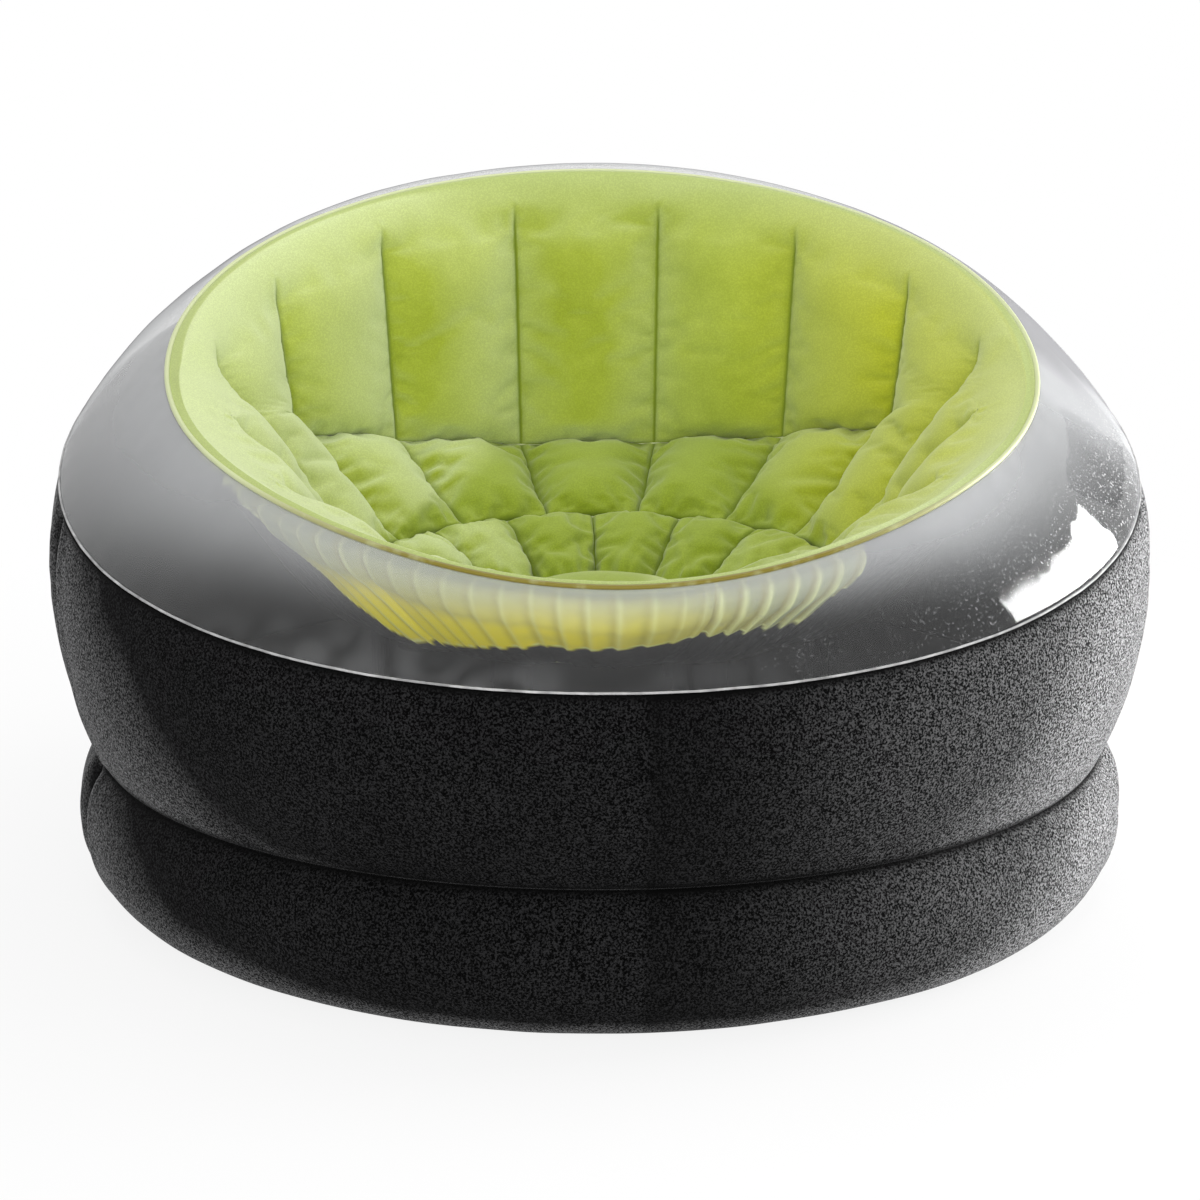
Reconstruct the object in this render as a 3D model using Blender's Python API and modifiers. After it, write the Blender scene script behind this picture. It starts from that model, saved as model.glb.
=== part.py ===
"""Inflatable round lounge chair, built as welded sheets round an air space, in metres.

+Z is up, the chair faces -Y and the origin is the middle of the underside on the floor.
Angles round the chair are measured from the front (-Y) towards +X.
"""

import bmesh
import bpy
import numpy as np
from mathutils import Matrix, Vector

# Overall size
CHAIR_WIDTH = 1.12
CHAIR_DEPTH = 1.09

# Sheets and gaps
SHEET_THICKNESS = 0.0006
WEB_THICKNESS = 0.0008
CLEARANCE = 0.0003

# Base ring, as radius and height of its section
FLOOR_RADIUS = 0.460
BASE_LOWER_REACH = 0.052
BASE_RADIUS = 0.5385
BASE_BULGE_HEIGHT = 0.092
BASE_LOWER_RISE = 0.050
BASE_UPPER_RISE = 0.030
BASE_SHOULDER_IN = 0.006
BASE_SHOULDER_DROP = 0.0155
WAIST_RADIUS = 0.5170
WAIST_HEIGHT = 0.1555

# Body wall
SEAM_RADIUS = 0.5476
BODY_SWELL = 0.0294
SEAM_MIDDLE_HEIGHT = 0.461
SEAM_TILT = 0.1268
SEAM_SADDLE = 0.016

# Rim and clear crown
RIM_RADIUS = 0.4325
RIM_SET_FORWARD = 0.055
RIM_MIDDLE_HEIGHT = 0.5575
RIM_TILT = 0.1255
RIM_FRONT_LIFT = 0.011
SEAM_BEAD_RADIUS = 0.0018
RIM_BEAD_RADIUS = 0.003

# Back wall of the seat bowl and the pillow row under it
BAND_INSET = 0.030
BAND_CROWN = 0.010
FOLD_FRONT_RADIUS = 0.381
FOLD_BACK_SPREAD = 0.019
FOLD_MIDDLE_HEIGHT = 0.5018
FOLD_TILT = 0.1168
FOLD_LEAST_DROP = 0.026
FOLD_BLEND = 0.012
FOLD_REACH = 0.020
PILLOW_REACH = 0.045
PILLOW_DIP = 0.020
CHANNEL_PUFF = 0.022
PILLOW_PUFF = 0.024

# Seat ring and domed middle
SEAT_RADIUS = 0.245
SEAT_HEIGHT = 0.334
SEAT_OUTER_REACH = 0.050
SEAT_OUTER_LIFT = 0.004
SEAT_INNER_REACH = 0.030
SEAT_PUFF = 0.016
DOME_RADIUS = 0.135
GROOVE_HEIGHT = 0.277
DOME_RISE = 0.046

# Inner backing sheet, its webs and the ties below
LINER_DEPTH = 0.020
LINER_TOP_DEPTH = 0.0032
LINER_PUFF = 0.006
WEB_CLEARANCE = 0.0008
TIE_WIDTH = 0.040
INNER_TIE_WIDTH = 0.050
SEAM_TAPE_WIDTH = 0.014
AIR_HOLE_RADIUS = 0.030
AIR_HOLE_CIRCLE = 0.370

# Valve, as radii and as heights along its own axis from the wall face
VALVE_HEIGHT = 0.215
WALL_HOLE_RADIUS = 0.0192
FLANGE_RADIUS = 0.032
FLANGE_BOTTOM = -0.0046
FLANGE_TOP = -0.0034
NECK_RADIUS = 0.0185
NECK_BORE = 0.0155
NECK_TOP = 0.004
COLLAR_RADIUS = 0.0152
COLLAR_BORE = 0.011
COLLAR_BOTTOM = -0.005
LIP_RADIUS = 0.0195
LIP_THICKNESS = 0.002
LIP_NOTCH_RADIUS = 0.0016
FLAP_RADIUS = 0.0128
FLAP_THICKNESS = 0.0012
PLUG_CAP_RADIUS = 0.014
PLUG_CAP_THICKNESS = 0.0022
PLUG_STEM_RADIUS = 0.0100
PLUG_STEM_TAPER = 0.0008
PLUG_STEM_LENGTH = 0.0060
STRAP_WIDTH = 0.009
STRAP_THICKNESS = 0.0014
STRAP_LENGTH = 0.0225
STRAP_DROP = 0.0030
STRAP_START = 0.010

# Counts and shares
FACETS = 64
CHANNELS = 16
FACETS_PER_CHANNEL = FACETS // CHANNELS
SIDE_SEAM_FACET = 14
BODY_ROWS = 5
BASE_ROWS = 5
CROWN_ROWS = 6
PILLOW_ROWS = 4
SEAT_ROWS = 4
DOME_ROWS = 3
LINER_SKIPPED_ROWS = 2
WEB_SKIPPED_ROWS = 2
FINE_STEPS = 60
VALVE_STEPS = 24
BODY_LOW_SHARE = 0.20
BODY_HIGH_SHARE = 0.69
CROWN_SEAM_PULL_SHARES = (0.112, 0.419)
CROWN_RIM_PULL_SHARES = (0.065, 0.144)
CROWN_RIM_ANGLES = (np.radians(-31.0), np.radians(27.0))
WALL_SHARES = (0.0, 0.06, 0.16, 0.30, 0.48, 0.66, 0.84, 1.0)
BAND_SHARE = 0.15
FOLD_DROP_SHARE = 0.62
PILLOW_SLOPE_SHARE = 0.10
PUFF_POWER_SHARE = 0.55
LINER_SPREAD_SHARE = 0.6
TIE_COUNT = 8
INNER_TIE_COUNT = 4
AIR_HOLE_COUNT = 6

DEPTH_SHARE = CHAIR_DEPTH / CHAIR_WIDTH
WALL_START = RIM_BEAD_RADIUS + CLEARANCE + SHEET_THICKNESS / 2

CHAIR_COLLECTION = "inflatable_chair"
CUTTER_COLLECTION = "cutters"

CHARCOAL = (0.012, 0.012, 0.013, 1.0)
GREEN = (0.36, 0.52, 0.06, 1.0)
PALE_GREEN = (0.55, 0.66, 0.30, 1.0)
CLEAR = (0.62, 0.64, 0.66, 1.0)
WHITE = (0.80, 0.80, 0.78, 1.0)
GREY = (0.25, 0.25, 0.26, 1.0)


def around(angle, radius, height, set_back=0.0):
    """Point at an angle from the front, on the oval of a given half width."""
    return np.array([
        radius * np.sin(angle),
        set_back - radius * DEPTH_SHARE * np.cos(angle),
        height,
    ])


def bezier(points, share):
    """Point of a cubic curve at a share of its length."""
    rest = 1.0 - share
    return (
        rest ** 3 * points[0]
        + 3 * rest ** 2 * share * points[1]
        + 3 * rest * share ** 2 * points[2]
        + share ** 3 * points[3]
    )


def unit(vector):
    """The vector at length one."""
    return vector / np.linalg.norm(vector)


def seam_height(angle):
    """Height of the weld between the dark wall and the clear crown."""
    return SEAM_MIDDLE_HEIGHT - SEAM_TILT * np.cos(angle) + SEAM_SADDLE * np.cos(2 * angle)


def rim_height(angle):
    """Height of the rim of the bowl, with a slight lift at the front quarters."""
    height = RIM_MIDDLE_HEIGHT - RIM_TILT * np.cos(angle)
    if np.cos(angle) > 0:
        height += RIM_FRONT_LIFT * np.sin(2 * angle) ** 2
    return height


def profile(angle, pairs, set_back=0.0):
    """Points of a section from pairs of radius and height."""
    return [around(angle, radius, height, set_back) for radius, height in pairs]


def base_curve(angle):
    """Section of the base ring, from the floor to the waist."""
    lower = profile(angle, [
        (FLOOR_RADIUS, 0.0),
        (FLOOR_RADIUS + BASE_LOWER_REACH, 0.0),
        (BASE_RADIUS, BASE_BULGE_HEIGHT - BASE_LOWER_RISE),
        (BASE_RADIUS, BASE_BULGE_HEIGHT),
    ])
    upper = profile(angle, [
        (BASE_RADIUS, BASE_BULGE_HEIGHT),
        (BASE_RADIUS, BASE_BULGE_HEIGHT + BASE_UPPER_RISE),
        (BASE_RADIUS - BASE_SHOULDER_IN, WAIST_HEIGHT - BASE_SHOULDER_DROP),
        (WAIST_RADIUS, WAIST_HEIGHT),
    ])
    steps = np.linspace(0, 1, FINE_STEPS)
    return [bezier(lower, share) for share in steps] + [bezier(upper, share) for share in steps[1:]]


def body_curve(angle):
    """Section of the dark body wall, from the waist to the crown seam."""
    rise = seam_height(angle) - WAIST_HEIGHT
    points = profile(angle, [
        (WAIST_RADIUS, WAIST_HEIGHT),
        (WAIST_RADIUS + BODY_SWELL, WAIST_HEIGHT + BODY_LOW_SHARE * rise),
        (SEAM_RADIUS + BODY_SWELL, WAIST_HEIGHT + BODY_HIGH_SHARE * rise),
        (SEAM_RADIUS, WAIST_HEIGHT + rise),
    ])
    return [bezier(points, share) for share in np.linspace(0, 1, FINE_STEPS)]


def crown_curve(angle):
    """Section of the clear crown, from the seam to the rim."""
    back = max(0.0, -np.cos(angle))
    seam = around(angle, SEAM_RADIUS, seam_height(angle))
    rim = around(angle, RIM_RADIUS, rim_height(angle), -RIM_SET_FORWARD)
    rise = seam_height(angle) - WAIST_HEIGHT
    leave = unit(around(angle, -BODY_SWELL, (1 - BODY_HIGH_SHARE) * rise))
    flat = seam - rim
    flat[2] = 0
    tilt = CROWN_RIM_ANGLES[0] + (CROWN_RIM_ANGLES[1] - CROWN_RIM_ANGLES[0]) * back
    arrive = unit(flat) * np.cos(tilt) + np.array([0, 0, np.sin(tilt)])
    span = np.linalg.norm(seam - rim)
    seam_pull = CROWN_SEAM_PULL_SHARES[0] + (CROWN_SEAM_PULL_SHARES[1] - CROWN_SEAM_PULL_SHARES[0]) * back
    rim_pull = CROWN_RIM_PULL_SHARES[0] + (CROWN_RIM_PULL_SHARES[1] - CROWN_RIM_PULL_SHARES[0]) * back
    points = [seam, seam + leave * span * seam_pull, rim + arrive * span * rim_pull, rim]
    return [bezier(points, share) for share in np.linspace(0, 1, FINE_STEPS)]


def fold(angle):
    """Radius, height and drop of the fold between the back wall and the pillow row."""
    plain = FOLD_MIDDLE_HEIGHT + FOLD_TILT * np.cos(angle)
    drop = rim_height(angle) - plain
    middle = (drop + FOLD_LEAST_DROP) / 2
    half = (drop - FOLD_LEAST_DROP) / 2
    drop = middle + np.sqrt(half ** 2 + FOLD_BLEND ** 2)
    nearness = ((1 + np.cos(angle)) / 2) ** 1.5
    return FOLD_FRONT_RADIUS + FOLD_BACK_SPREAD * nearness, rim_height(angle) - drop, drop


def wall_curve(angle):
    """Section of the back wall of the bowl, from the rim down to the fold."""
    radius, height, drop = fold(angle)
    points = profile(angle, [
        (RIM_RADIUS, rim_height(angle)),
        (RIM_RADIUS - BAND_INSET, rim_height(angle) + BAND_CROWN),
        (radius + FOLD_REACH, height + FOLD_DROP_SHARE * drop),
        (radius, height),
    ], -RIM_SET_FORWARD)
    return [bezier(points, share) for share in np.linspace(0, 1, FINE_STEPS)]


def pillow_curve(angle):
    """Section of the pillow row, from the fold to the edge of the seat."""
    radius, height, drop = fold(angle)
    slope = PILLOW_SLOPE_SHARE * (height - SEAT_HEIGHT)
    points = profile(angle, [
        (radius, height),
        (radius - PILLOW_REACH, height - PILLOW_DIP - slope),
        (SEAT_RADIUS + SEAT_OUTER_REACH, SEAT_HEIGHT + SEAT_OUTER_LIFT),
        (SEAT_RADIUS, SEAT_HEIGHT),
    ], -RIM_SET_FORWARD)
    return [bezier(points, share) for share in np.linspace(0, 1, FINE_STEPS)]


def seat_curve(angle):
    """Section of the seat ring, from its edge down to the groove round the middle."""
    points = profile(angle, [
        (SEAT_RADIUS, SEAT_HEIGHT),
        (SEAT_RADIUS - SEAT_INNER_REACH, SEAT_HEIGHT - SEAT_OUTER_LIFT),
        (DOME_RADIUS + SEAT_INNER_REACH, GROOVE_HEIGHT),
        (DOME_RADIUS, GROOVE_HEIGHT),
    ], -RIM_SET_FORWARD)
    return [bezier(points, share) for share in np.linspace(0, 1, FINE_STEPS)]


def spaced(curve, shares, start_cut, end_cut):
    """Points of a section at shares of its length, cut back by a length at each end."""
    points = np.array(curve)
    steps = np.linalg.norm(np.diff(points, axis=0), axis=1)
    run = np.concatenate([[0.0], np.cumsum(steps)])
    wanted = start_cut + np.array(shares) * (run[-1] - end_cut - start_cut)
    return np.array([[np.interp(w, run, points[:, axis]) for axis in range(3)] for w in wanted])


def facet_angles(first=0, last=FACETS, trim=0.0):
    """Angles of the facets from one to another, the end ones trimmed inwards."""
    angles = np.array([2 * np.pi * index / FACETS for index in range(first, last + 1)])
    angles[0] += trim
    angles[-1] -= trim
    return angles


def section_grid(curve, angles, shares, start_cut, end_cut):
    """Grid of points, one spaced section for each angle."""
    return np.array([spaced(curve(angle), shares, start_cut, end_cut) for angle in angles])


def even(rows):
    """Shares of evenly spaced rows."""
    return np.linspace(0, 1, rows + 1)


def grid_normals(grid, closed):
    """Unit normals of a grid, from its two directions."""
    if closed:
        across = np.roll(grid, -1, axis=0) - np.roll(grid, 1, axis=0)
    else:
        across = np.gradient(grid, axis=0)
    along = np.gradient(grid, axis=1)
    normals = np.cross(across, along)
    return normals / np.linalg.norm(normals, axis=2)[:, :, None]


def puff(grid, amount, half_turn, shares, envelope):
    """Swell a closed grid between its radial seams, flat at the seams."""
    normals = grid_normals(grid, True)
    side = 1.0 if normals[0, :, 2].mean() > 0 else -1.0
    out = grid.copy()
    for index in range(grid.shape[0]):
        place = ((index + half_turn) % FACETS_PER_CHANNEL) / FACETS_PER_CHANNEL
        swell = max(0.0, 1 - (2 * place - 1) ** 2) ** PUFF_POWER_SHARE
        for row, share in enumerate(shares):
            out[index, row] += side * normals[index, row] * amount * swell * envelope(share)
    return out


def collection(name):
    """The named collection, made when it is missing."""
    found = bpy.data.collections.get(name)
    if found is None:
        found = bpy.data.collections.new(name)
        bpy.context.scene.collection.children.link(found)
    return found


def material(name, colour, roughness, alpha=1.0):
    """A plain Principled material."""
    made = bpy.data.materials.new(name)
    made.use_nodes = True
    shader = made.node_tree.nodes["Principled BSDF"]
    shader.inputs["Base Color"].default_value = colour
    shader.inputs["Roughness"].default_value = roughness
    shader.inputs["Alpha"].default_value = alpha
    return made


def add_object(name, mesh, look, group=CHAIR_COLLECTION):
    """Put a mesh into the scene as a named object."""
    made = bpy.data.objects.new(name, mesh)
    collection(group).objects.link(made)
    if look is not None:
        mesh.materials.append(look)
    return made


def add_cutter(name, mesh):
    """Put a helper mesh into the scene, hidden from renders."""
    made = add_object(name, mesh, None, CUTTER_COLLECTION)
    made.hide_render = True
    made.display_type = "WIRE"
    return made


def thicken(made, thickness=SHEET_THICKNESS, offset=-1.0):
    """Give an open surface its thickness."""
    modifier = made.modifiers.new("thickness", "SOLIDIFY")
    modifier.thickness = thickness
    modifier.offset = offset
    modifier.use_even_offset = True
    modifier.use_rim = True
    return modifier


def cut(made, cutter, operation="DIFFERENCE"):
    """Cut an object with a helper, or join the helper on."""
    modifier = made.modifiers.new("cut", "BOOLEAN")
    modifier.operation = operation
    modifier.solver = "EXACT"
    modifier.object = cutter


def grid_mesh(name, grid, closed, up, cap=None):
    """Mesh of a grid, its faces turned so that they look outwards or upwards."""
    columns = grid.shape[0]
    rows = grid.shape[1]
    vertices = [tuple(point) for column in grid for point in column]
    faces = []
    for index in range(columns if closed else columns - 1):
        after = (index + 1) % columns
        for row in range(rows - 1):
            faces.append((
                index * rows + row,
                after * rows + row,
                after * rows + row + 1,
                index * rows + row + 1,
            ))
    if cap is not None:
        vertices.append(tuple(cap))
        top = len(vertices) - 1
        for index in range(columns):
            after = (index + 1) % columns
            faces.append((index * rows + rows - 1, after * rows + rows - 1, top))
    mesh = bpy.data.meshes.new(name)
    mesh.from_pydata(vertices, [], faces)
    shape = bmesh.new()
    shape.from_mesh(mesh)
    shape.normal_update()
    total = sum(face.normal.dot(up(face.calc_center_median())) for face in shape.faces)
    if total < 0:
        bmesh.ops.reverse_faces(shape, faces=shape.faces[:])
    shape.to_mesh(mesh)
    shape.free()
    return mesh


def outward(point):
    """Direction away from the upright axis of the chair."""
    return Vector((point.x, point.y, 0)).normalized()


def outward_and_up(point):
    """Direction away from the hollow of the ring."""
    return (outward(point) + Vector((0, 0, 1))).normalized()


def upward(point):
    """Straight up."""
    return Vector((0, 0, 1))


def inward_and_up(point):
    """Direction into the bowl."""
    return (Vector((0, 0, 1)) - outward(point)).normalized()


def downward_and_out(point):
    """Direction behind the bowl."""
    return -inward_and_up(point)


def sheet(name, grid, closed, up, look, cap=None):
    """One sheet of the chair, as a surface with thickness behind it."""
    made = add_object(name, grid_mesh(name, grid, closed, up, cap), look)
    thicken(made)
    return made


def disc_mesh(name, radius, height):
    """Flat oval disc with one facet for each facet of the walls."""
    points = [around(angle, radius, height) for angle in facet_angles()[:-1]]
    mesh = bpy.data.meshes.new(name)
    mesh.from_pydata([tuple(point) for point in points], [], [tuple(range(FACETS))])
    return mesh


def flat_disc(name, radius, height, offset, look):
    """Flat oval sheet with thickness."""
    made = add_object(name, disc_mesh(name, radius, height), look)
    thicken(made, SHEET_THICKNESS, offset)
    return made


def bead(name, path, radius, look):
    """Round bead along a closed path."""
    curve = bpy.data.curves.new(name, "CURVE")
    curve.dimensions = "3D"
    curve.bevel_depth = radius
    curve.bevel_resolution = 1
    curve.use_fill_caps = False
    line = curve.splines.new("POLY")
    line.points.add(len(path) - 1)
    for target, point in zip(line.points, path):
        target.co = (point[0], point[1], point[2], 1.0)
    line.use_cyclic_u = True
    made = bpy.data.objects.new(name, curve)
    collection(CHAIR_COLLECTION).objects.link(made)
    curve.materials.append(look)
    return made


def build_floor_and_partition(looks):
    """Floor sheet under the base ring and the pierced sheet at the waist."""
    flat_disc("floor_sheet", FLOOR_RADIUS - CLEARANCE, 0.0, 1.0, looks["floor_sheet"])
    partition = flat_disc("waist_partition", WAIST_RADIUS, WAIST_HEIGHT, 0.0, looks["waist_partition"])
    shape = bmesh.new()
    for index in range(AIR_HOLE_COUNT):
        angle = 2 * np.pi * (index + 0.5) / AIR_HOLE_COUNT
        place = Matrix.Translation(Vector(around(angle, AIR_HOLE_CIRCLE, WAIST_HEIGHT)))
        bmesh.ops.create_cone(
            shape,
            cap_ends=True,
            segments=16,
            radius1=AIR_HOLE_RADIUS,
            radius2=AIR_HOLE_RADIUS,
            depth=AIR_HOLE_RADIUS,
            matrix=place,
        )
    mesh = bpy.data.meshes.new("air_holes")
    shape.to_mesh(mesh)
    shape.free()
    cut(partition, add_cutter("air_holes", mesh))


def build_panels(looks):
    """Front and rear panels of the base ring and of the body wall."""
    waist_cut = SHEET_THICKNESS / 2 + CLEARANCE
    bead_cut = SEAM_BEAD_RADIUS + CLEARANCE
    trim = CLEARANCE / 2 / SEAM_RADIUS
    spans = {
        "front": (-SIDE_SEAM_FACET, SIDE_SEAM_FACET),
        "rear": (SIDE_SEAM_FACET, FACETS - SIDE_SEAM_FACET),
    }
    walls = {}
    for side, (first, last) in spans.items():
        angles = facet_angles(first, last, trim)
        grid = section_grid(base_curve, angles, even(BASE_ROWS), 0.0, waist_cut)
        name = "base_wall_" + side
        walls[name] = sheet(name, grid, False, outward, looks[name])
        grid = section_grid(body_curve, angles, even(BODY_ROWS), waist_cut, bead_cut)
        name = "body_wall_" + side
        walls[name] = sheet(name, grid, False, outward, looks[name])
    return walls


def build_seam_tapes(looks):
    """Weld tapes behind the upright joints between the panels."""
    facet_width = 2 * np.pi * SEAM_RADIUS / FACETS
    reach = SEAM_TAPE_WIDTH / 2 / facet_width
    behind = SHEET_THICKNESS + CLEARANCE * 2
    waist_cut = SHEET_THICKNESS / 2 + CLEARANCE
    bead_cut = SEAM_BEAD_RADIUS + CLEARANCE
    parts = (
        ("base", base_curve, BASE_ROWS, 0.0, waist_cut),
        ("body", body_curve, BODY_ROWS, waist_cut, bead_cut),
    )
    for side, facet in (("right", SIDE_SEAM_FACET), ("left", FACETS - SIDE_SEAM_FACET)):
        angles = 2 * np.pi * np.array([facet - 1, facet, facet + 1]) / FACETS
        for part, curve, rows, start_cut, end_cut in parts:
            grid = section_grid(curve, angles, even(rows), start_cut, end_cut)
            grid[0] = grid[1] + (grid[0] - grid[1]) * reach
            grid[2] = grid[1] + (grid[2] - grid[1]) * reach
            normals = grid_normals(grid, False)
            middle_point = grid[1, rows // 2]
            outwards = np.array([middle_point[0], middle_point[1], 0.0])
            turn = 1.0 if np.dot(normals[1, rows // 2], outwards) > 0 else -1.0
            name = part + "_seam_tape_" + side
            sheet(name, grid - turn * normals * behind, False, outward, looks[name])


def build_crown(looks):
    """Clear crown sheet with the bead at its lower edge and the bead at the rim."""
    angles = facet_angles()[:-1]
    seam_path = [around(angle, SEAM_RADIUS, seam_height(angle)) for angle in angles]
    rim_path = [around(angle, RIM_RADIUS, rim_height(angle), -RIM_SET_FORWARD) for angle in angles]
    bead("crown_seam_bead", seam_path, SEAM_BEAD_RADIUS, looks["crown_seam_bead"])
    bead("rim_bead", rim_path, RIM_BEAD_RADIUS, looks["rim_bead"])
    grid = section_grid(
        crown_curve,
        angles,
        even(CROWN_ROWS),
        SEAM_BEAD_RADIUS + CLEARANCE,
        RIM_BEAD_RADIUS + CLEARANCE,
    )
    sheet("crown_sheet", grid, True, outward_and_up, looks["crown_sheet"])


def arch(share):
    """Swell that is full in the middle of a row and flat at both ends."""
    return max(0.0, 1 - (2 * share - 1) ** 4) ** 0.5


def channel_swell(share):
    """Swell of the back channels, which starts under the plain band."""
    if share <= BAND_SHARE:
        return 0.0
    return arch((share - BAND_SHARE) / (1 - BAND_SHARE))


def build_bowl(looks):
    """Back wall, pillow row, seat ring and domed middle of the bowl."""
    angles = facet_angles()[:-1]
    half_channel = FACETS_PER_CHANNEL // 2
    grid = section_grid(wall_curve, angles, WALL_SHARES, WALL_START, CLEARANCE)
    grid = puff(grid, CHANNEL_PUFF, half_channel, WALL_SHARES, channel_swell)
    sheet("back_wall", grid, True, inward_and_up, looks["back_wall"])
    grid = section_grid(pillow_curve, angles, even(PILLOW_ROWS), CLEARANCE, CLEARANCE)
    grid = puff(grid, PILLOW_PUFF, half_channel, even(PILLOW_ROWS), arch)
    sheet("pillow_row", grid, True, inward_and_up, looks["pillow_row"])
    grid = section_grid(seat_curve, angles, even(SEAT_ROWS), CLEARANCE, CLEARANCE)
    grid = puff(grid, SEAT_PUFF, 0, even(SEAT_ROWS), arch)
    sheet("seat_ring", grid, True, upward, looks["seat_ring"])
    grid = []
    shares = np.linspace(0, 1, DOME_ROWS + 1)[:-1]
    for angle in angles:
        column = []
        for share in shares:
            radius = (DOME_RADIUS - CLEARANCE * 2) * (1 - share)
            height = GROOVE_HEIGHT + DOME_RISE * (1 - (1 - share) ** 2)
            column.append(around(angle, radius, height, -RIM_SET_FORWARD))
        grid.append(column)
    top = (0.0, -RIM_SET_FORWARD, GROOVE_HEIGHT + DOME_RISE)
    sheet("seat_middle", np.array(grid), True, upward, looks["seat_middle"], top)


def bowl_rows(angle):
    """Rows of the wall under its band and of the pillow row, as one section."""
    wall = spaced(wall_curve(angle), WALL_SHARES, WALL_START, CLEARANCE)
    pillow = spaced(pillow_curve(angle), even(PILLOW_ROWS), CLEARANCE, CLEARANCE)
    return np.concatenate([wall[LINER_SKIPPED_ROWS:], pillow[1:]])


def behind_normals(angle, rows):
    """Even offset directions behind the rows of a section."""
    around_way = unit(np.array([np.cos(angle), DEPTH_SHARE * np.sin(angle), 0.0]))
    steps = np.diff(rows, axis=0)
    sides = np.cross(steps, around_way)
    sides = sides / np.linalg.norm(sides, axis=1)[:, None]
    if sides[-1][2] > 0:
        sides = -sides
    before = np.concatenate([sides[:1], sides])
    after = np.concatenate([sides, sides[-1:]])
    return (before + after) / (1 + np.sum(before * after, axis=1))[:, None]


def liner_depths(rows):
    """Depth of the liner behind each row, small at the top and even further down."""
    steps = np.linalg.norm(np.diff(rows, axis=0), axis=1)
    run = np.concatenate([[0.0], np.cumsum(steps)])
    return np.minimum(LINER_DEPTH, LINER_TOP_DEPTH + LINER_SPREAD_SHARE * run)


def backing_points(angle, rows, depths):
    """Points behind the rows of a section, at the given depths."""
    normals = behind_normals(angle, rows)
    away = unit(np.array([np.sin(angle), -DEPTH_SHARE * np.cos(angle), 0.0]))
    down = np.array([0.0, 0.0, -1.0])
    turn = np.linspace(0, 1, len(rows))[:, None]
    plain = away * (1 - turn) + down * turn
    plain = plain / np.linalg.norm(plain, axis=1)[:, None]
    use = np.clip((depths - LINER_TOP_DEPTH) / (LINER_DEPTH - LINER_TOP_DEPTH), 0, 1)[:, None]
    mixed = normals * (1 - use) + plain * use
    mixed = mixed / np.linalg.norm(mixed, axis=1)[:, None]
    return rows + mixed * depths[:, None]


def build_liner(looks):
    """Backing sheet behind the back wall and the pillow row."""
    grid = []
    for index, angle in enumerate(facet_angles()[:-1]):
        place = ((index + FACETS_PER_CHANNEL // 2) % FACETS_PER_CHANNEL) / FACETS_PER_CHANNEL
        swell = max(0.0, 1 - (2 * place - 1) ** 2) ** PUFF_POWER_SHARE
        rows = bowl_rows(angle)
        depths = liner_depths(rows)
        fullness = swell * (depths - LINER_TOP_DEPTH) / (LINER_DEPTH - LINER_TOP_DEPTH)
        grid.append(backing_points(angle, rows, depths + LINER_PUFF * fullness))
    sheet("backing_liner", np.array(grid), True, downward_and_out, looks["backing_liner"])


def build_webs(looks):
    """One web behind each seam of the channels, between the bowl sheets and the liner."""
    hold_off = SHEET_THICKNESS + WEB_CLEARANCE
    for number in range(CHANNELS):
        angle = 2 * np.pi * (number + 0.5) / CHANNELS
        rows = bowl_rows(angle)
        front = rows + behind_normals(angle, rows) * hold_off
        rear = backing_points(angle, rows, liner_depths(rows))
        back = front - rear
        rear = rear + back / np.linalg.norm(back, axis=1)[:, None] * hold_off
        grid = np.array([front[WEB_SKIPPED_ROWS:-1], rear[WEB_SKIPPED_ROWS:-1]])
        name = "channel_web_%02d" % (number + 1)
        made = add_object(name, grid_mesh(name, grid, False, upward), looks[name])
        thicken(made, WEB_THICKNESS, 0.0)


def build_ties(looks):
    """Upright ties that hold the seat down to the sheet at the waist."""
    bottom = WAIST_HEIGHT + SHEET_THICKNESS / 2 + CLEARANCE
    below = SHEET_THICKNESS * 2
    sets = (
        ("outer_tie_", TIE_COUNT, SEAT_RADIUS, TIE_WIDTH, SEAT_HEIGHT - LINER_DEPTH - LINER_PUFF - below),
        ("inner_tie_", INNER_TIE_COUNT, DOME_RADIUS, INNER_TIE_WIDTH, GROOVE_HEIGHT - below),
    )
    for start, count, radius, width, top in sets:
        half = width / 2 / radius
        for number in range(count):
            middle = 2 * np.pi * (number + 0.5) / count
            angles = (middle - half, middle, middle + half)
            grid = np.array([
                [around(angle, radius, height, -RIM_SET_FORWARD) for height in (bottom, top)]
                for angle in angles
            ])
            name = start + "%02d" % (number + 1)
            made = add_object(name, grid_mesh(name, grid, False, outward), looks[name])
            thicken(made, WEB_THICKNESS, 0.0)


def valve_frame():
    """Placement of the valve on the rear wall, its own +Z along the way out."""
    waist_cut = SHEET_THICKNESS / 2 + CLEARANCE
    curve = spaced(body_curve(np.pi), even(BODY_ROWS), waist_cut, SEAM_BEAD_RADIUS + CLEARANCE)
    point = np.array([np.interp(VALVE_HEIGHT, curve[:, 2], curve[:, axis]) for axis in range(3)])
    step = SHEET_THICKNESS
    above = np.array([np.interp(VALVE_HEIGHT + step, curve[:, 2], curve[:, axis]) for axis in range(3)])
    up = Vector(unit(above - point))
    right = Vector((-1, 0, 0))
    out = right.cross(up).normalized()
    if out.y < 0:
        out = -out
        right = -right
    frame = Matrix((
        (right.x, up.x, out.x, point[0]),
        (right.y, up.y, out.y, point[1]),
        (right.z, up.z, out.z, point[2]),
        (0, 0, 0, 1),
    ))
    return frame


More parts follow.
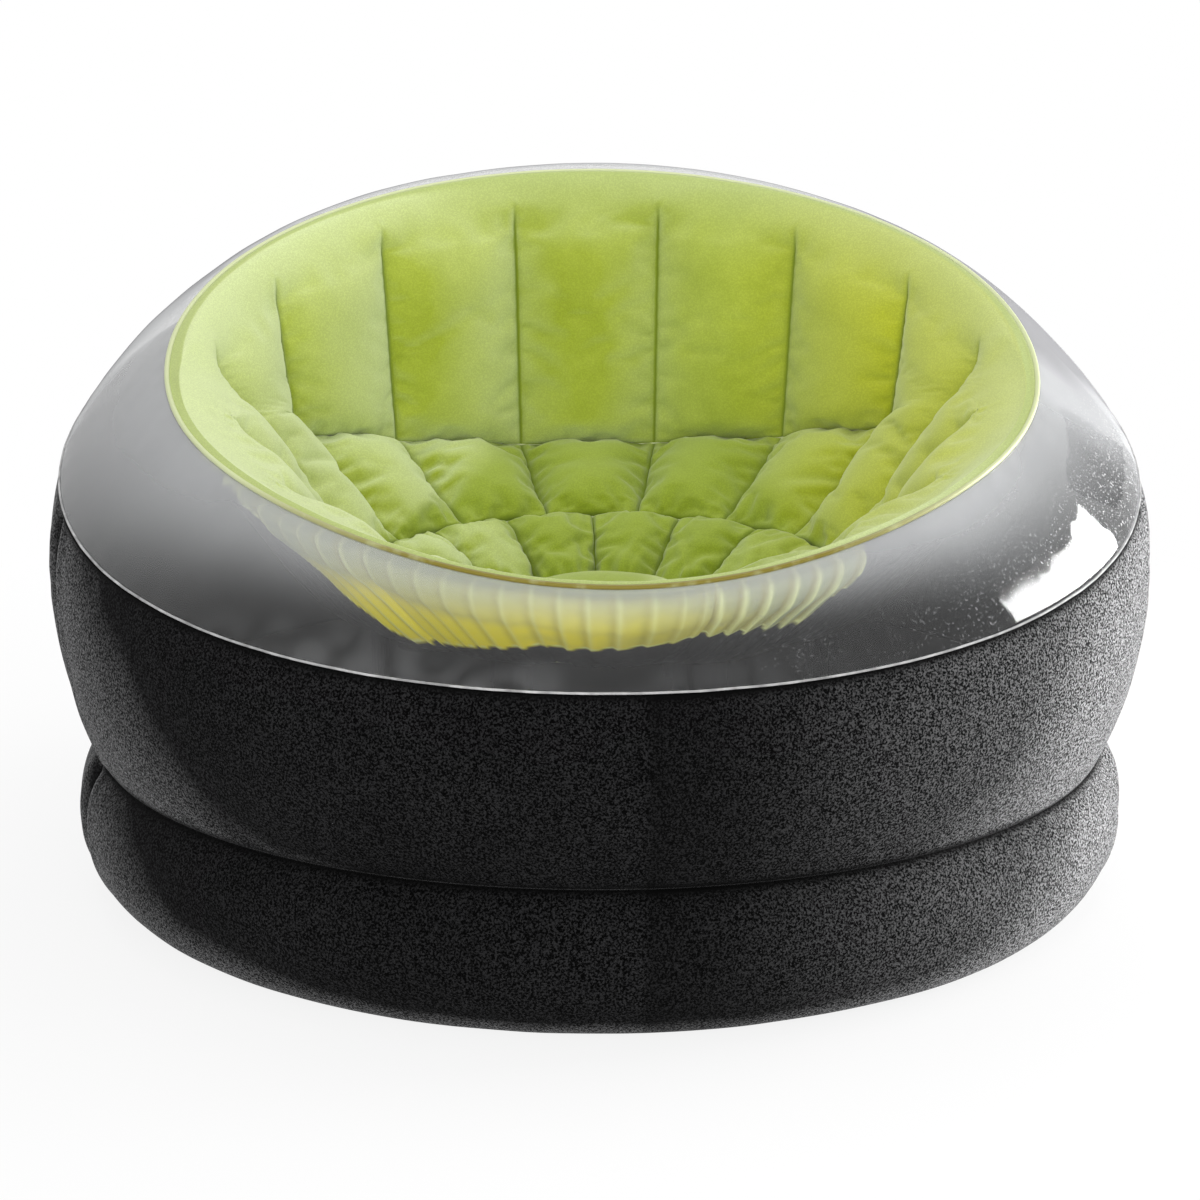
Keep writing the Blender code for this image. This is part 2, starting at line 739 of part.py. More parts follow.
def turned(name, points, frame, look, closed):
    """Solid of revolution from pairs of radius and height, by a Screw modifier."""
    mesh = bpy.data.meshes.new(name)
    vertices = [(radius, 0, height) for radius, height in reversed(points)]
    edges = [(index, index + 1) for index in range(len(points) - 1)]
    if closed:
        edges.append((len(points) - 1, 0))
    mesh.from_pydata(vertices, edges, [])
    made = add_object(name, mesh, look)
    made.matrix_world = frame
    modifier = made.modifiers.new("turn", "SCREW")
    modifier.axis = "Z"
    modifier.angle = 2 * np.pi
    modifier.steps = VALVE_STEPS
    modifier.render_steps = VALVE_STEPS
    modifier.use_merge_vertices = True
    modifier.merge_threshold = 0.00001
    modifier.use_smooth_shade = False
    return made


def box_mesh(name, low, high):
    """Mesh of a box between two corners."""
    shape = bmesh.new()
    bmesh.ops.create_cube(shape, size=1.0)
    for vertex in shape.verts:
        for axis in range(3):
            vertex.co[axis] = high[axis] if vertex.co[axis] > 0 else low[axis]
    mesh = bpy.data.meshes.new(name)
    shape.to_mesh(mesh)
    shape.free()
    return mesh


def build_valve(looks, wall):
    """Air valve on the rear wall, with its collar, inner flap and strapped plug."""
    frame = valve_frame()
    hole = bpy.data.meshes.new("valve_hole")
    shape = bmesh.new()
    bmesh.ops.create_cone(
        shape,
        cap_ends=True,
        segments=VALVE_STEPS,
        radius1=WALL_HOLE_RADIUS,
        radius2=WALL_HOLE_RADIUS,
        depth=FLANGE_RADIUS,
    )
    shape.to_mesh(hole)
    shape.free()
    cutter = add_cutter("valve_hole", hole)
    cutter.matrix_world = frame
    cut(wall, cutter)

    turned("valve_flange", [
        (NECK_BORE, FLANGE_BOTTOM),
        (FLANGE_RADIUS, FLANGE_BOTTOM),
        (FLANGE_RADIUS, FLANGE_TOP),
        (NECK_RADIUS, FLANGE_TOP),
        (NECK_RADIUS, NECK_TOP),
        (NECK_BORE, NECK_TOP),
    ], frame, looks["valve_flange"], True)

    lip_bottom = NECK_TOP + CLEARANCE
    lip_top = lip_bottom + LIP_THICKNESS
    collar = turned("valve_collar", [
        (COLLAR_BORE, COLLAR_BOTTOM),
        (COLLAR_RADIUS, COLLAR_BOTTOM),
        (COLLAR_RADIUS, lip_bottom),
        (LIP_RADIUS, lip_bottom),
        (LIP_RADIUS, lip_top),
        (COLLAR_BORE, lip_top),
    ], frame, looks["valve_collar"], True)
    shape = bmesh.new()
    for number in range(CHANNELS // 2):
        angle = 2 * np.pi * (number + 0.5) / (CHANNELS // 2)
        place = Vector((LIP_RADIUS * np.cos(angle), LIP_RADIUS * np.sin(angle), lip_top))
        bmesh.ops.create_cone(
            shape,
            cap_ends=True,
            segments=8,
            radius1=LIP_NOTCH_RADIUS,
            radius2=LIP_NOTCH_RADIUS,
            depth=LIP_THICKNESS * 4,
            matrix=Matrix.Translation(place),
        )
    notches = bpy.data.meshes.new("collar_notches")
    shape.to_mesh(notches)
    shape.free()
    cutter = add_cutter("collar_notches", notches)
    cutter.matrix_world = frame
    cut(collar, cutter)
    ear = add_cutter("collar_ear", box_mesh(
        "collar_ear",
        (-STRAP_WIDTH / 2, STRAP_THICKNESS + CLEARANCE - STRAP_LENGTH, lip_bottom),
        (STRAP_WIDTH / 2, -COLLAR_RADIUS - CLEARANCE, lip_top),
    ))
    ear.matrix_world = frame
    cut(collar, ear, "UNION")

    flap_top = COLLAR_BOTTOM - CLEARANCE
    turned("valve_flap", [
        (0, flap_top - FLAP_THICKNESS),
        (FLAP_RADIUS, flap_top - FLAP_THICKNESS),
        (FLAP_RADIUS, flap_top),
        (0, flap_top),
    ], frame, looks["valve_flap"], False)

    cap_bottom = lip_top + CLEARANCE
    plug = turned("valve_plug", [
        (0, cap_bottom - PLUG_STEM_LENGTH),
        (PLUG_STEM_RADIUS - PLUG_STEM_TAPER, cap_bottom - PLUG_STEM_LENGTH),
        (PLUG_STEM_RADIUS, cap_bottom),
        (PLUG_CAP_RADIUS, cap_bottom),
        (PLUG_CAP_RADIUS, cap_bottom + PLUG_CAP_THICKNESS),
        (0, cap_bottom + PLUG_CAP_THICKNESS),
    ], frame, looks["valve_plug"], False)
    strap_low = cap_bottom + (PLUG_CAP_THICKNESS - STRAP_THICKNESS) / 2
    strap = add_cutter("plug_strap", box_mesh(
        "plug_strap",
        (-STRAP_WIDTH / 2, -STRAP_LENGTH, strap_low),
        (STRAP_WIDTH / 2, -STRAP_START, strap_low + STRAP_THICKNESS),
    ))
    strap.matrix_world = frame
    cut(plug, strap, "UNION")
    ear = add_cutter("strap_end", box_mesh(
        "strap_end",
        (-STRAP_WIDTH / 2, -STRAP_LENGTH, strap_low - STRAP_DROP),
        (STRAP_WIDTH / 2, STRAP_THICKNESS - STRAP_LENGTH, strap_low + STRAP_THICKNESS / 2),
    ))
    ear.matrix_world = frame
    cut(plug, ear, "UNION")


def node_looks():
    """One material for each node, by name."""
    plain = {
        "floor_sheet": (CHARCOAL, 0.7, 1.0),
        "waist_partition": (GREY, 0.5, 1.0),
        "base_wall_front": (CHARCOAL, 0.95, 1.0),
        "base_wall_rear": (CHARCOAL, 0.95, 1.0),
        "body_wall_front": (CHARCOAL, 0.95, 1.0),
        "body_wall_rear": (CHARCOAL, 0.95, 1.0),
        "base_seam_tape_left": (GREY, 0.5, 1.0),
        "base_seam_tape_right": (GREY, 0.5, 1.0),
        "body_seam_tape_left": (GREY, 0.5, 1.0),
        "body_seam_tape_right": (GREY, 0.5, 1.0),
        "crown_seam_bead": (WHITE, 0.4, 1.0),
        "rim_bead": (PALE_GREEN, 0.4, 1.0),
        "crown_sheet": (CLEAR, 0.15, 0.35),
        "back_wall": (GREEN, 0.9, 1.0),
        "pillow_row": (GREEN, 0.9, 1.0),
        "seat_ring": (GREEN, 0.9, 1.0),
        "seat_middle": (GREEN, 0.9, 1.0),
        "backing_liner": (PALE_GREEN, 0.5, 1.0),
        "valve_flange": (GREY, 0.4, 1.0),
        "valve_collar": (GREY, 0.4, 1.0),
        "valve_flap": (CLEAR, 0.4, 1.0),
        "valve_plug": (GREY, 0.4, 1.0),
    }
    for number in range(CHANNELS):
        plain["channel_web_%02d" % (number + 1)] = (PALE_GREEN, 0.5, 1.0)
    for number in range(TIE_COUNT):
        plain["outer_tie_%02d" % (number + 1)] = (PALE_GREEN, 0.5, 1.0)
    for number in range(INNER_TIE_COUNT):
        plain["inner_tie_%02d" % (number + 1)] = (PALE_GREEN, 0.5, 1.0)
    return {
        name: material(name + "_skin", colour, roughness, alpha)
        for name, (colour, roughness, alpha) in plain.items()
    }


def main():
    """Clear the scene and build the chair."""
    for existing in list(bpy.data.objects):
        bpy.data.objects.remove(existing)
    looks = node_looks()
    build_floor_and_partition(looks)
    walls = build_panels(looks)
    build_seam_tapes(looks)
    build_crown(looks)
    build_bowl(looks)
    build_liner(looks)
    build_webs(looks)
    build_ties(looks)
    build_valve(looks, walls["body_wall_rear"])


main()
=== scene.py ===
"""Dresses the inflatable lounge chair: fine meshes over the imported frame, finishes, studio and camera."""

import logging
import math
from dataclasses import dataclass
from enum import Enum
from typing import Callable, Optional, Sequence

import bmesh
import bpy
import numpy as np
from mathutils import Matrix, Vector


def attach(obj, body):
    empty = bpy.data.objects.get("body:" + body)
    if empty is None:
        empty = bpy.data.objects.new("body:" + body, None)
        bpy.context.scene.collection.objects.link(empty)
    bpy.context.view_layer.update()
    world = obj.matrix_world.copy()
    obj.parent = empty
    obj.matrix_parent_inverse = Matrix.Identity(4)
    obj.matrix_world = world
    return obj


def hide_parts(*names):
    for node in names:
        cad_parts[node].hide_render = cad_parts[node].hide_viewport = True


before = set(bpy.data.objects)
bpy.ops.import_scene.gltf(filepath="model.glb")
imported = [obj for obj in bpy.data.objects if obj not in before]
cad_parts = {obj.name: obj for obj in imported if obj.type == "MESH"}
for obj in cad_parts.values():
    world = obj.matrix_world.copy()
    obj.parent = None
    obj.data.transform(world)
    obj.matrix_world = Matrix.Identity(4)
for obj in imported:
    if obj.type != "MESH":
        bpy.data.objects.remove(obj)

LOG = logging.getLogger("chair")
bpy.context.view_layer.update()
SHEET = 0.0006
LOOP = np.linspace(0, 2 * np.pi, 512, endpoint=False)
WHITE = (1.0, 1.0, 1.0, 1.0)
NOISE_RANGE = (0.3, 0.7)
HASH_STEPS = np.array([374761393, 668265263, 2147483647])

Colour = tuple[float, float, float, float]
Spot = tuple[float, float, float]
Array = np.ndarray
Shape = Callable[[Array], Array]
Mesh = bpy.types.Mesh
Material = bpy.types.Material


class Body(Enum):
    """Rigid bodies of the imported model."""

    CHAIR = "chair"
    COLLAR = "collar"
    FLAP = "flap"
    PLUG = "plug"


class Slot(Enum):
    """Material slots of the record."""

    CHARCOAL = "charcoal_flock"
    GREEN = "green_flock"
    BLACK = "black_vinyl"
    GREY = "grey_vinyl"
    PALE = "pale_green_vinyl"
    CLEAR = "clear_vinyl"
    WHITE_WELD = "white_weld"
    GREEN_WELD = "green_weld"
    VALVE = "valve_plastic"
    MEMBRANE = "valve_membrane"


def added_node(tree: bpy.types.NodeTree, kind: str, settings: dict, inputs: dict) -> bpy.types.Node:
    """Adds any node, with its settings set before its sockets.

    Args:
        tree: the tree.
        kind: the node's type.
        settings: the node's own attributes.
        inputs: values, sockets or terms by socket name or number.

    Returns:
        The node.
    """
    made = tree.nodes.new(kind)
    for key, value in settings.items():
        setattr(made, key, value)
    for key, value in inputs.items():
        source = value.socket if isinstance(value, Term) else value
        if isinstance(source, bpy.types.NodeSocket):
            tree.links.new(source, made.inputs[key])
        else:
            made.inputs[key].default_value = source
    return made


def operator(operation: str, swapped: bool = False) -> Callable[["Term", object], "Term"]:
    """Gives the method of one arithmetic operation between a term and another term or number.

    Args:
        operation: the Math node's operation.
        swapped: whether the other value comes first.

    Returns:
        The method.
    """

    def apply(term: "Term", other: object) -> "Term":
        """Adds one Math node."""
        values = (other, term) if swapped else (term, other)
        return term.graph.node("Math", {"operation": operation}, dict(enumerate(values)))

    return apply


class Term:
    """A socket value that builds Math nodes when it is used in an expression."""

    __add__ = __radd__ = operator("ADD")
    __sub__ = operator("SUBTRACT")
    __rsub__ = operator("SUBTRACT", True)
    __mul__ = __rmul__ = operator("MULTIPLY")
    __pow__ = operator("POWER")

    def __init__(self, graph: "Graph", socket: bpy.types.NodeSocket) -> None:
        """Keeps the graph and the socket."""
        self.graph = graph
        self.socket = socket

    def clamp(self) -> "Term":
        """Limits the value to between 0 and 1."""
        return self.graph.node("Clamp", {}, {"Value": self})


class Graph:
    """One material's node tree, built in short calls."""

    def __init__(self, name: str, world: bool = False) -> None:
        """Starts an empty material or world.

        Args:
            name: its name.
            world: whether it is a world.
        """
        self.holder = bpy.data.worlds.new(name) if world else bpy.data.materials.new(name)
        self.holder.use_nodes = True
        self.tree = self.holder.node_tree
        self.tree.nodes.clear()
        self.output = self.tree.nodes.new("ShaderNodeOutputWorld" if world else "ShaderNodeOutputMaterial")

    def node(self, kind: str, settings: dict, inputs: dict, output: object = 0) -> Term:
        """Adds a shader node, without the ShaderNode of its type, and gives one output, by name or number."""
        return Term(self, added_node(self.tree, "ShaderNode" + kind, settings, inputs).outputs[output])

    def place(self) -> Term:
        """Object coordinates."""
        return self.node("TexCoord", {}, {}, "Object")

    def along(self, axis: str) -> Term:
        """One axis of the Object coordinates."""
        return self.node("SeparateXYZ", {}, {"Vector": self.place()}, axis)

    def facing(self) -> Term:
        """0 where the surface is seen square on and 1 where it is seen aslant."""
        return self.node("LayerWeight", {}, {"Blend": 0.5}, "Facing")

    def attribute(self, name: str) -> Term:
        """A float attribute of the mesh."""
        return self.node("Attribute", {"attribute_name": name}, {}, "Fac")

    def noise(self, scale: float, detail: float = 2.0, roughness: float = 0.5, where: Optional[Term] = None) -> Term:
        """Noise with a scale in cells per metre, on Object coordinates unless others are given."""
        inputs = {"Vector": where or self.place(), "Scale": scale, "Detail": detail, "Roughness": roughness}
        return self.node("TexNoise", {}, inputs)

    def mix(self, share: object, low: object, high: object) -> Term:
        """Mixes two colours by the share of the second."""
        return self.node("Mix", {"data_type": "RGBA"}, {0: share, 6: low, 7: high}, 2)

    def span(self, value: Term, low: float, high: float, to_low: float = 0.0, to_high: float = 1.0) -> Term:
        """Maps a value from one range to another, clamped."""
        inputs = {"Value": value, "From Min": low, "From Max": high, "To Min": to_low, "To Max": to_high}
        return self.node("MapRange", {}, inputs)

    def varied(self, noise: Term, low: float = 0.0, high: float = 1.0) -> Term:
        """Spreads the usual range of a noise over another range."""
        return self.span(noise, *NOISE_RANGE, low, high)

    def bump(self, height: Term, strength: float, distance: float, base: Optional[Term] = None) -> Term:
        """Bump node on a height, its distance in metres, which may build on another bump's normal."""
        inputs = {"Height": height, "Strength": strength, "Distance": distance} | ({"Normal": base} if base else {})
        return self.node("Bump", {}, inputs)

    def principled(self, **inputs: object) -> Term:
        """Principled shader, with underscores for the spaces of its socket names."""
        spaced = {key.replace("_", " "): value for key, value in inputs.items()}
        return self.node("BsdfPrincipled", {}, spaced)

    def finish(self, shader: Term) -> bpy.types.ID:
        """Links the shader to the output and gives the material or world."""
        self.tree.links.new(shader.socket, self.output.inputs["Surface"])
        return self.holder


def rgb(red: float, green: float, blue: float) -> Colour:
    """Opaque linear colour."""
    return (red, green, blue, 1.0)


def srgb(red: int, green: int, blue: int) -> Colour:
    """Linear colour of a screen colour, each channel from 0 to 255."""
    shares = (red / 255, green / 255, blue / 255)
    return rgb(*(share / 12.92 if share <= 0.04045 else ((share + 0.055) / 1.055) ** 2.4 for share in shares))


@dataclass(frozen=True)
class FlockFinish:
    """Short velvet flock on vinyl: speckled, with a painted sheen where it is seen aslant and towards the chair's
    right, painted light and shade by which way its parts face, and painted shade in its creases.
    """

    name: str
    low: Colour
    high: Colour
    crease_shade: Colour
    flat: Colour
    grain: float
    fleck_scale: float
    aslant: Colour
    aslant_range: tuple[float, float]
    aslant_power: float
    brushed_east: float
    washed_east: float
    lit: Colour
    sheen: float
    sheen_tint: Colour
    sheen_roughness: float
    bump: float

    def build(self) -> Material:
        """Builds the flock material.

        Returns:
            The material.
        """
        g = Graph(self.name)
        cloud = g.noise(7.0, 4.0, 0.55)
        brushed = g.noise(38.0, 5.0, 0.6)
        fleck = g.noise(self.fleck_scale, 2.0, 0.7)
        east = g.along("X")
        body = g.mix(g.varied(cloud) * 0.7 + g.span(brushed, 0.45, 0.75) * 0.3, self.low, self.high)
        # Painted shade on up-facing parts, which take the darker flat colour, and painted light on west-facing parts at
        # the chair's right, which take the lit colour.
        body = g.mix(g.attribute("level"), body, self.flat)
        body = g.mix(g.attribute("lit"), body, self.lit)
        # Painted sheen and painted light: the colour pales where the surface is seen aslant, more so towards the
        # chair's right, and on the plain strip under the rim.
        slant = g.facing() ** self.aslant_power + (cloud - 0.5) * 0.15 + g.span(east, 0.28, 0.56) * self.brushed_east
        pale = g.span(slant, *self.aslant_range) + g.span(east, 0.06, 0.46) ** 1.6 * self.washed_east
        # The painted sheen is kept off up-facing and west-facing parts.
        pale = pale * (1.0 - g.attribute("painted_sheen_off"))
        body = g.mix((pale + g.attribute("band")).clamp(), body, self.aslant)
        grain = g.span(fleck, 0.45, 0.60, 1.0 - self.grain, 1.0 + 2.2 * self.grain)
        body = g.node("VectorMath", {"operation": "SCALE"}, {0: body, "Scale": grain}, "Vector")
        # Painted shade in the creases, the folds and along the welds.
        body = g.mix(g.attribute("crease_shade").clamp(), body, self.crease_shade)
        normal = g.bump(brushed, self.bump * 0.4, 0.0010, g.bump(fleck, self.bump, 0.0005))
        return g.finish(g.principled(
            Base_Color=body, Roughness=g.varied(brushed, 0.86, 0.98), Normal=normal, Specular_IOR_Level=0.05,
            Sheen_Weight=self.sheen, Sheen_Roughness=self.sheen_roughness, Sheen_Tint=self.sheen_tint))


@dataclass(frozen=True)
class VinylFinish:
    """Plain vinyl or moulded plastic with faint clouding and fine handling marks."""

    name: str
    low: Colour
    high: Colour
    roughness: float
    mottle: float = 26.0
    bump: float = 0.15
    gloss: float = 0.5

    def build(self) -> Material:
        """Builds the vinyl material.

        Returns:
            The material.
        """
        g = Graph(self.name)
        cloud = g.noise(self.mottle, 4.0, 0.55)
        marks = g.noise(240.0, 3.0, 0.6)
        body = g.mix(g.varied(cloud), self.low, self.high)
        # Painted shade in the creases, darkening the vinyl there.
        body = g.mix((g.attribute("crease_shade") * 0.55).clamp(), body, self.low)
        rough = g.span(cloud + marks * 0.4, 0.4, 1.0, self.roughness, min(1.0, self.roughness + 0.16))
        normal = g.bump(marks, self.bump, 0.0004)
        return g.finish(g.principled(Base_Color=body, Roughness=rough, Normal=normal, Specular_IOR_Level=self.gloss))


@dataclass(frozen=True)
class ClearFinish:
    """Clear vinyl: mostly see-through, with a painted reflection that whitens it towards the rim and a painted dark
    reflection at the right rear, with dust, scuffs and a gloss.
    """

    name: str
    tint: Colour
    rim: Colour
    haze_low: float
    haze_high: float
    slant: float
    reflection_veil: float
    roughness: float
    gloss: float

    def build(self) -> Material:
        """Builds the clear material.

        Returns:
            The material.
        """
        g = Graph(self.name)
        cloud = g.noise(5.0, 4.0, 0.55)
        facing = g.facing()
        crinkle, dark_reflection = g.attribute("crinkle"), g.attribute("dark_reflection")
        where_dusty = g.attribute("dust") + g.span(g.noise(3.0), 0.56, 0.70) * 0.3
        specks = (g.span(g.noise(380.0, 1.0, 0.4), 0.64, 0.70) * where_dusty).clamp()
        normal = g.bump(crinkle, 0.5, 0.002, g.bump(g.noise(12.0, 3.0, 0.45), 0.22, 0.003))
        edge = g.span(facing, 0.86, 0.97)
        smear = g.node("Mapping", {}, {"Vector": g.place(), "Scale": (60.0, 60.0, 6.0)})
        scuff = g.span(g.noise(1.0, 2.0, 0.5, smear), 0.60, 0.85) * where_dusty
        # Painted reflection: the sheet turns milky towards the rim, standing in for reflected studio light.
        reflected_haze = g.attribute("reflection_veil") * g.varied(cloud, self.reflection_veil * 0.8, self.reflection_veil)
        hidden = g.varied(cloud, self.haze_low, self.haze_high) + reflected_haze + facing ** 3.0 * self.slant
        share = (hidden + specks * 0.45 + scuff * 0.06 + crinkle * 0.04).clamp()
        # Painted dark reflection at the right rear: the sheet turns grey and less clear there.
        skin = g.principled(
            Base_Color=g.mix((edge + dark_reflection).clamp(), g.mix(specks, self.tint, rgb(0.9, 0.9, 0.9)), self.rim),
            Roughness=g.varied(cloud, 0.30, 0.42), Alpha=(share + g.span(facing, 0.84, 0.96) + dark_reflection).clamp(),
            Normal=normal, Specular_IOR_Level=0.0)
        shine = g.principled(
            Base_Color=rgb(1.0, 1.0, 1.0), Metallic=1.0, Normal=normal,
            Roughness=g.varied(cloud, self.roughness, self.roughness + 0.03))
        mirrored = (facing ** 5.0 * 0.60 + 0.030) * g.span(facing, 0.86, 0.97, self.gloss, 0.3 * self.gloss)
        return g.finish(g.node("MixShader", {}, {0: mirrored, 1: skin, 2: shine}))


@dataclass(frozen=True)
class LinerFinish:
    """Reverse of the bowl's liner: thin sheet with painted emission, pale above, yellow below, dark past its hem; its
    turn from yellow to pale towards the chair's right is painted light.
    """

    name: str
    warm: Colour
    cool: Colour
    fold: Colour
    light: Colour
    beyond: Colour
    glow: float = 0.26

    def build(self) -> Material:
        """Builds the liner's material.

        Returns:
            The material.
        """
        g = Graph(self.name)
        across = g.along("X")
        # Painted light: the yellow turns pale towards the chair's right, and at the far left.
        side = g.span(across + g.noise(16.0, 3.0) * 0.25, 0.05, 0.32) + g.span(across, -0.24, -0.30)
        body = g.mix(g.attribute("depth").clamp(), self.cool, g.mix(side.clamp(), self.warm, self.cool))
        # Painted shade in the folds of the pleats.
        body = g.mix(g.attribute("crease_shade").clamp() * 0.75, body, self.fold)
        # Painted highlights on the pleat crests, and a pale line along the hem.
        body = g.mix(g.attribute("edge").clamp() * 0.8, body, self.light)
        body = g.mix(g.attribute("beyond").clamp(), body, self.beyond)
        marks = g.noise(180.0, 3.0, 0.6)
        # Painted light: the sheet emits its own colour, so it looks lit where little light reaches it.
        return g.finish(g.principled(
            Base_Color=body, Roughness=g.varied(marks, 0.38, 0.55), Specular_IOR_Level=0.12,
            Normal=g.bump(marks, 0.12, 0.0004), Emission_Color=body, Emission_Strength=self.glow))


@dataclass(frozen=True)
class WeldFinish:
    """Glossy weld bead, with painted shade at the front, where it is seen against the bowl."""

    name: str
    front: Colour
    rest: Colour
    roughness: float = 0.3

    def build(self) -> Material:
        """Builds the bead's material.

        Returns:
            The material.
        """
        g = Graph(self.name)
        cloud = g.noise(45.0, 3.0, 0.6)
        # Painted shade: the bead turns darker towards the front of the chair.
        body = g.mix(g.span(g.along("Y"), -0.44, -0.30), self.front, self.rest)
        body = g.mix(g.span(cloud, 0.50, 0.75) * 0.45, body, self.rest)
        return g.finish(g.principled(
            Base_Color=body, Roughness=g.varied(cloud, self.roughness, self.roughness + 0.2),
            Normal=g.bump(cloud, 0.3, 0.0006)))


def lerp(low: object, high: object, share: object) -> object:
    """Value between two, at a share."""
    return low + (high - low) * share


def smoothstep(value: Array) -> Array:
    """Eased step from 0 to 1."""
    value = np.clip(value, 0.0, 1.0)
    return value * value * (3 - 2 * value)


def bell(value: Array, width: float, power: float = 2.0) -> Array:
    """Falls from 1 at zero to nothing past a width."""
    return np.exp(-(value / width) ** power)


def bunched(count: int, share: float) -> Array:
    """Places from 0 to 1, gathered at both ends as strongly as the share says."""
    even = np.linspace(0, 1, count)
    return even * (1 - share) + share * (1 - np.cos(np.pi * even)) / 2


def degrees_round(angles: Array) -> Array:
    """Angles in degrees from the front, from -180 to 180, positive at the chair's right."""
    return (np.degrees(angles) + 180) % 360 - 180


def value_noise(points: Array, scale: float, seed: int) -> Array:
    """Smooth noise in three dimensions from -1 to 1, the same on every run.

    Args:
        points: array of places, the last axis of length three.
        scale: cells in a metre.
        seed: picks the pattern.

    Returns:
        One value for each place.
    """
    where = points * scale + 37.3 * (seed + 1)
    cell = np.floor(where).astype(np.int64)
    part = where - cell
    part = part * part * (3 - 2 * part)
    total = np.zeros(points.shape[:-1])
    for step in np.ndindex(2, 2, 2):
        mixed = ((cell + np.array(step)) @ HASH_STEPS + seed * 144665) & 0x7FFFFFFF
        mixed = (mixed ^ (mixed >> 13)) * 1274126177 & 0x7FFFFFFF
        chance = ((mixed ^ (mixed >> 16)) & 0xFFFF) / 32767.5 - 1.0
        near = np.where(step, part, 1 - part)
        total += near[..., 0] * near[..., 1] * near[..., 2] * chance
    return total


def outward(points: Array) -> Array:
    """Ways away from the chair's upright axis."""
    return points * np.array([1.0, 1.0, 0.0])


def outward_and_up(points: Array) -> Array:
    """Ways away from the axis and up."""
    return outward(points) + np.array([0.0, 0.0, 0.45])


def into_bowl(points: Array) -> Array:
    """Ways towards the middle of the bowl's mouth."""
    return np.array([0.0, -0.055, 0.75]) - points


def out_of_bowl(points: Array) -> Array:
    """Ways away from the middle of the bowl's mouth."""
    return -into_bowl(points)


def always(way: Sequence[float]) -> Shape:
    """Gives a function whose way is the same at every point."""
    return lambda points: np.broadcast_to(np.asarray(way), points.shape)


def grid_normals(grid: Array, closed: bool, facing: Shape) -> Array:
    """Unit normals of a grid of points.

    Args:
        grid: array of columns, rows and three.
        closed: whether the last column meets the first.
        facing: gives the way that the normals should point.

    Returns:
        Array of the same shape.
    """
    across = np.roll(grid, -1, axis=0) - np.roll(grid, 1, axis=0) if closed else np.gradient(grid, axis=0)
    normals = np.cross(across, np.gradient(grid, axis=1))
    normals = normals / np.maximum(np.linalg.norm(normals, axis=2), 1e-12)[:, :, None]
    return -normals if np.sum(normals * facing(grid)) < 0 else normals


def run_lengths(points: Array) -> Array:
    """Length along each column from its first row."""
    steps = np.linalg.norm(np.diff(points, axis=1), axis=2)
    return np.concatenate([np.zeros((len(points), 1)), np.cumsum(steps, axis=1)], axis=1)


def respace(fine: Array, shares: Array, start_cut: float = 0.0, end_cut: float = 0.0) -> Array:
    """Points at shares of each fine column, cut back by a length at both ends.

    Args:
        fine: array of columns, fine rows and three.
        shares: shares of the length, from 0 to 1.
        start_cut: metres left off at the start.
        end_cut: metres left off at the end.

    Returns:
        Array of columns, shares and three.
    """
    run = run_lengths(fine)
    out = np.empty((len(fine), len(shares), 3))
    for index, line in enumerate(fine):
        wanted = start_cut + shares * (run[index, -1] - start_cut - end_cut)
        for axis in range(3):
            out[index, :, axis] = np.interp(wanted, run[index], line[:, axis])
    return out


def bezier(points: Sequence[Array], count: int) -> Array:
    """Cubic curves, one for each column.

    Args:
        points: four arrays of columns and three.
        count: rows on each curve.

    Returns:
        Array of columns, rows and three.
    """
    share = np.linspace(0, 1, count)[None, :, None]
    rest = 1 - share
    first, second, third, last = (np.asarray(point)[:, None, :] for point in points)
    return rest ** 3 * first + 3 * rest ** 2 * share * second + 3 * rest * share ** 2 * third + share ** 3 * last


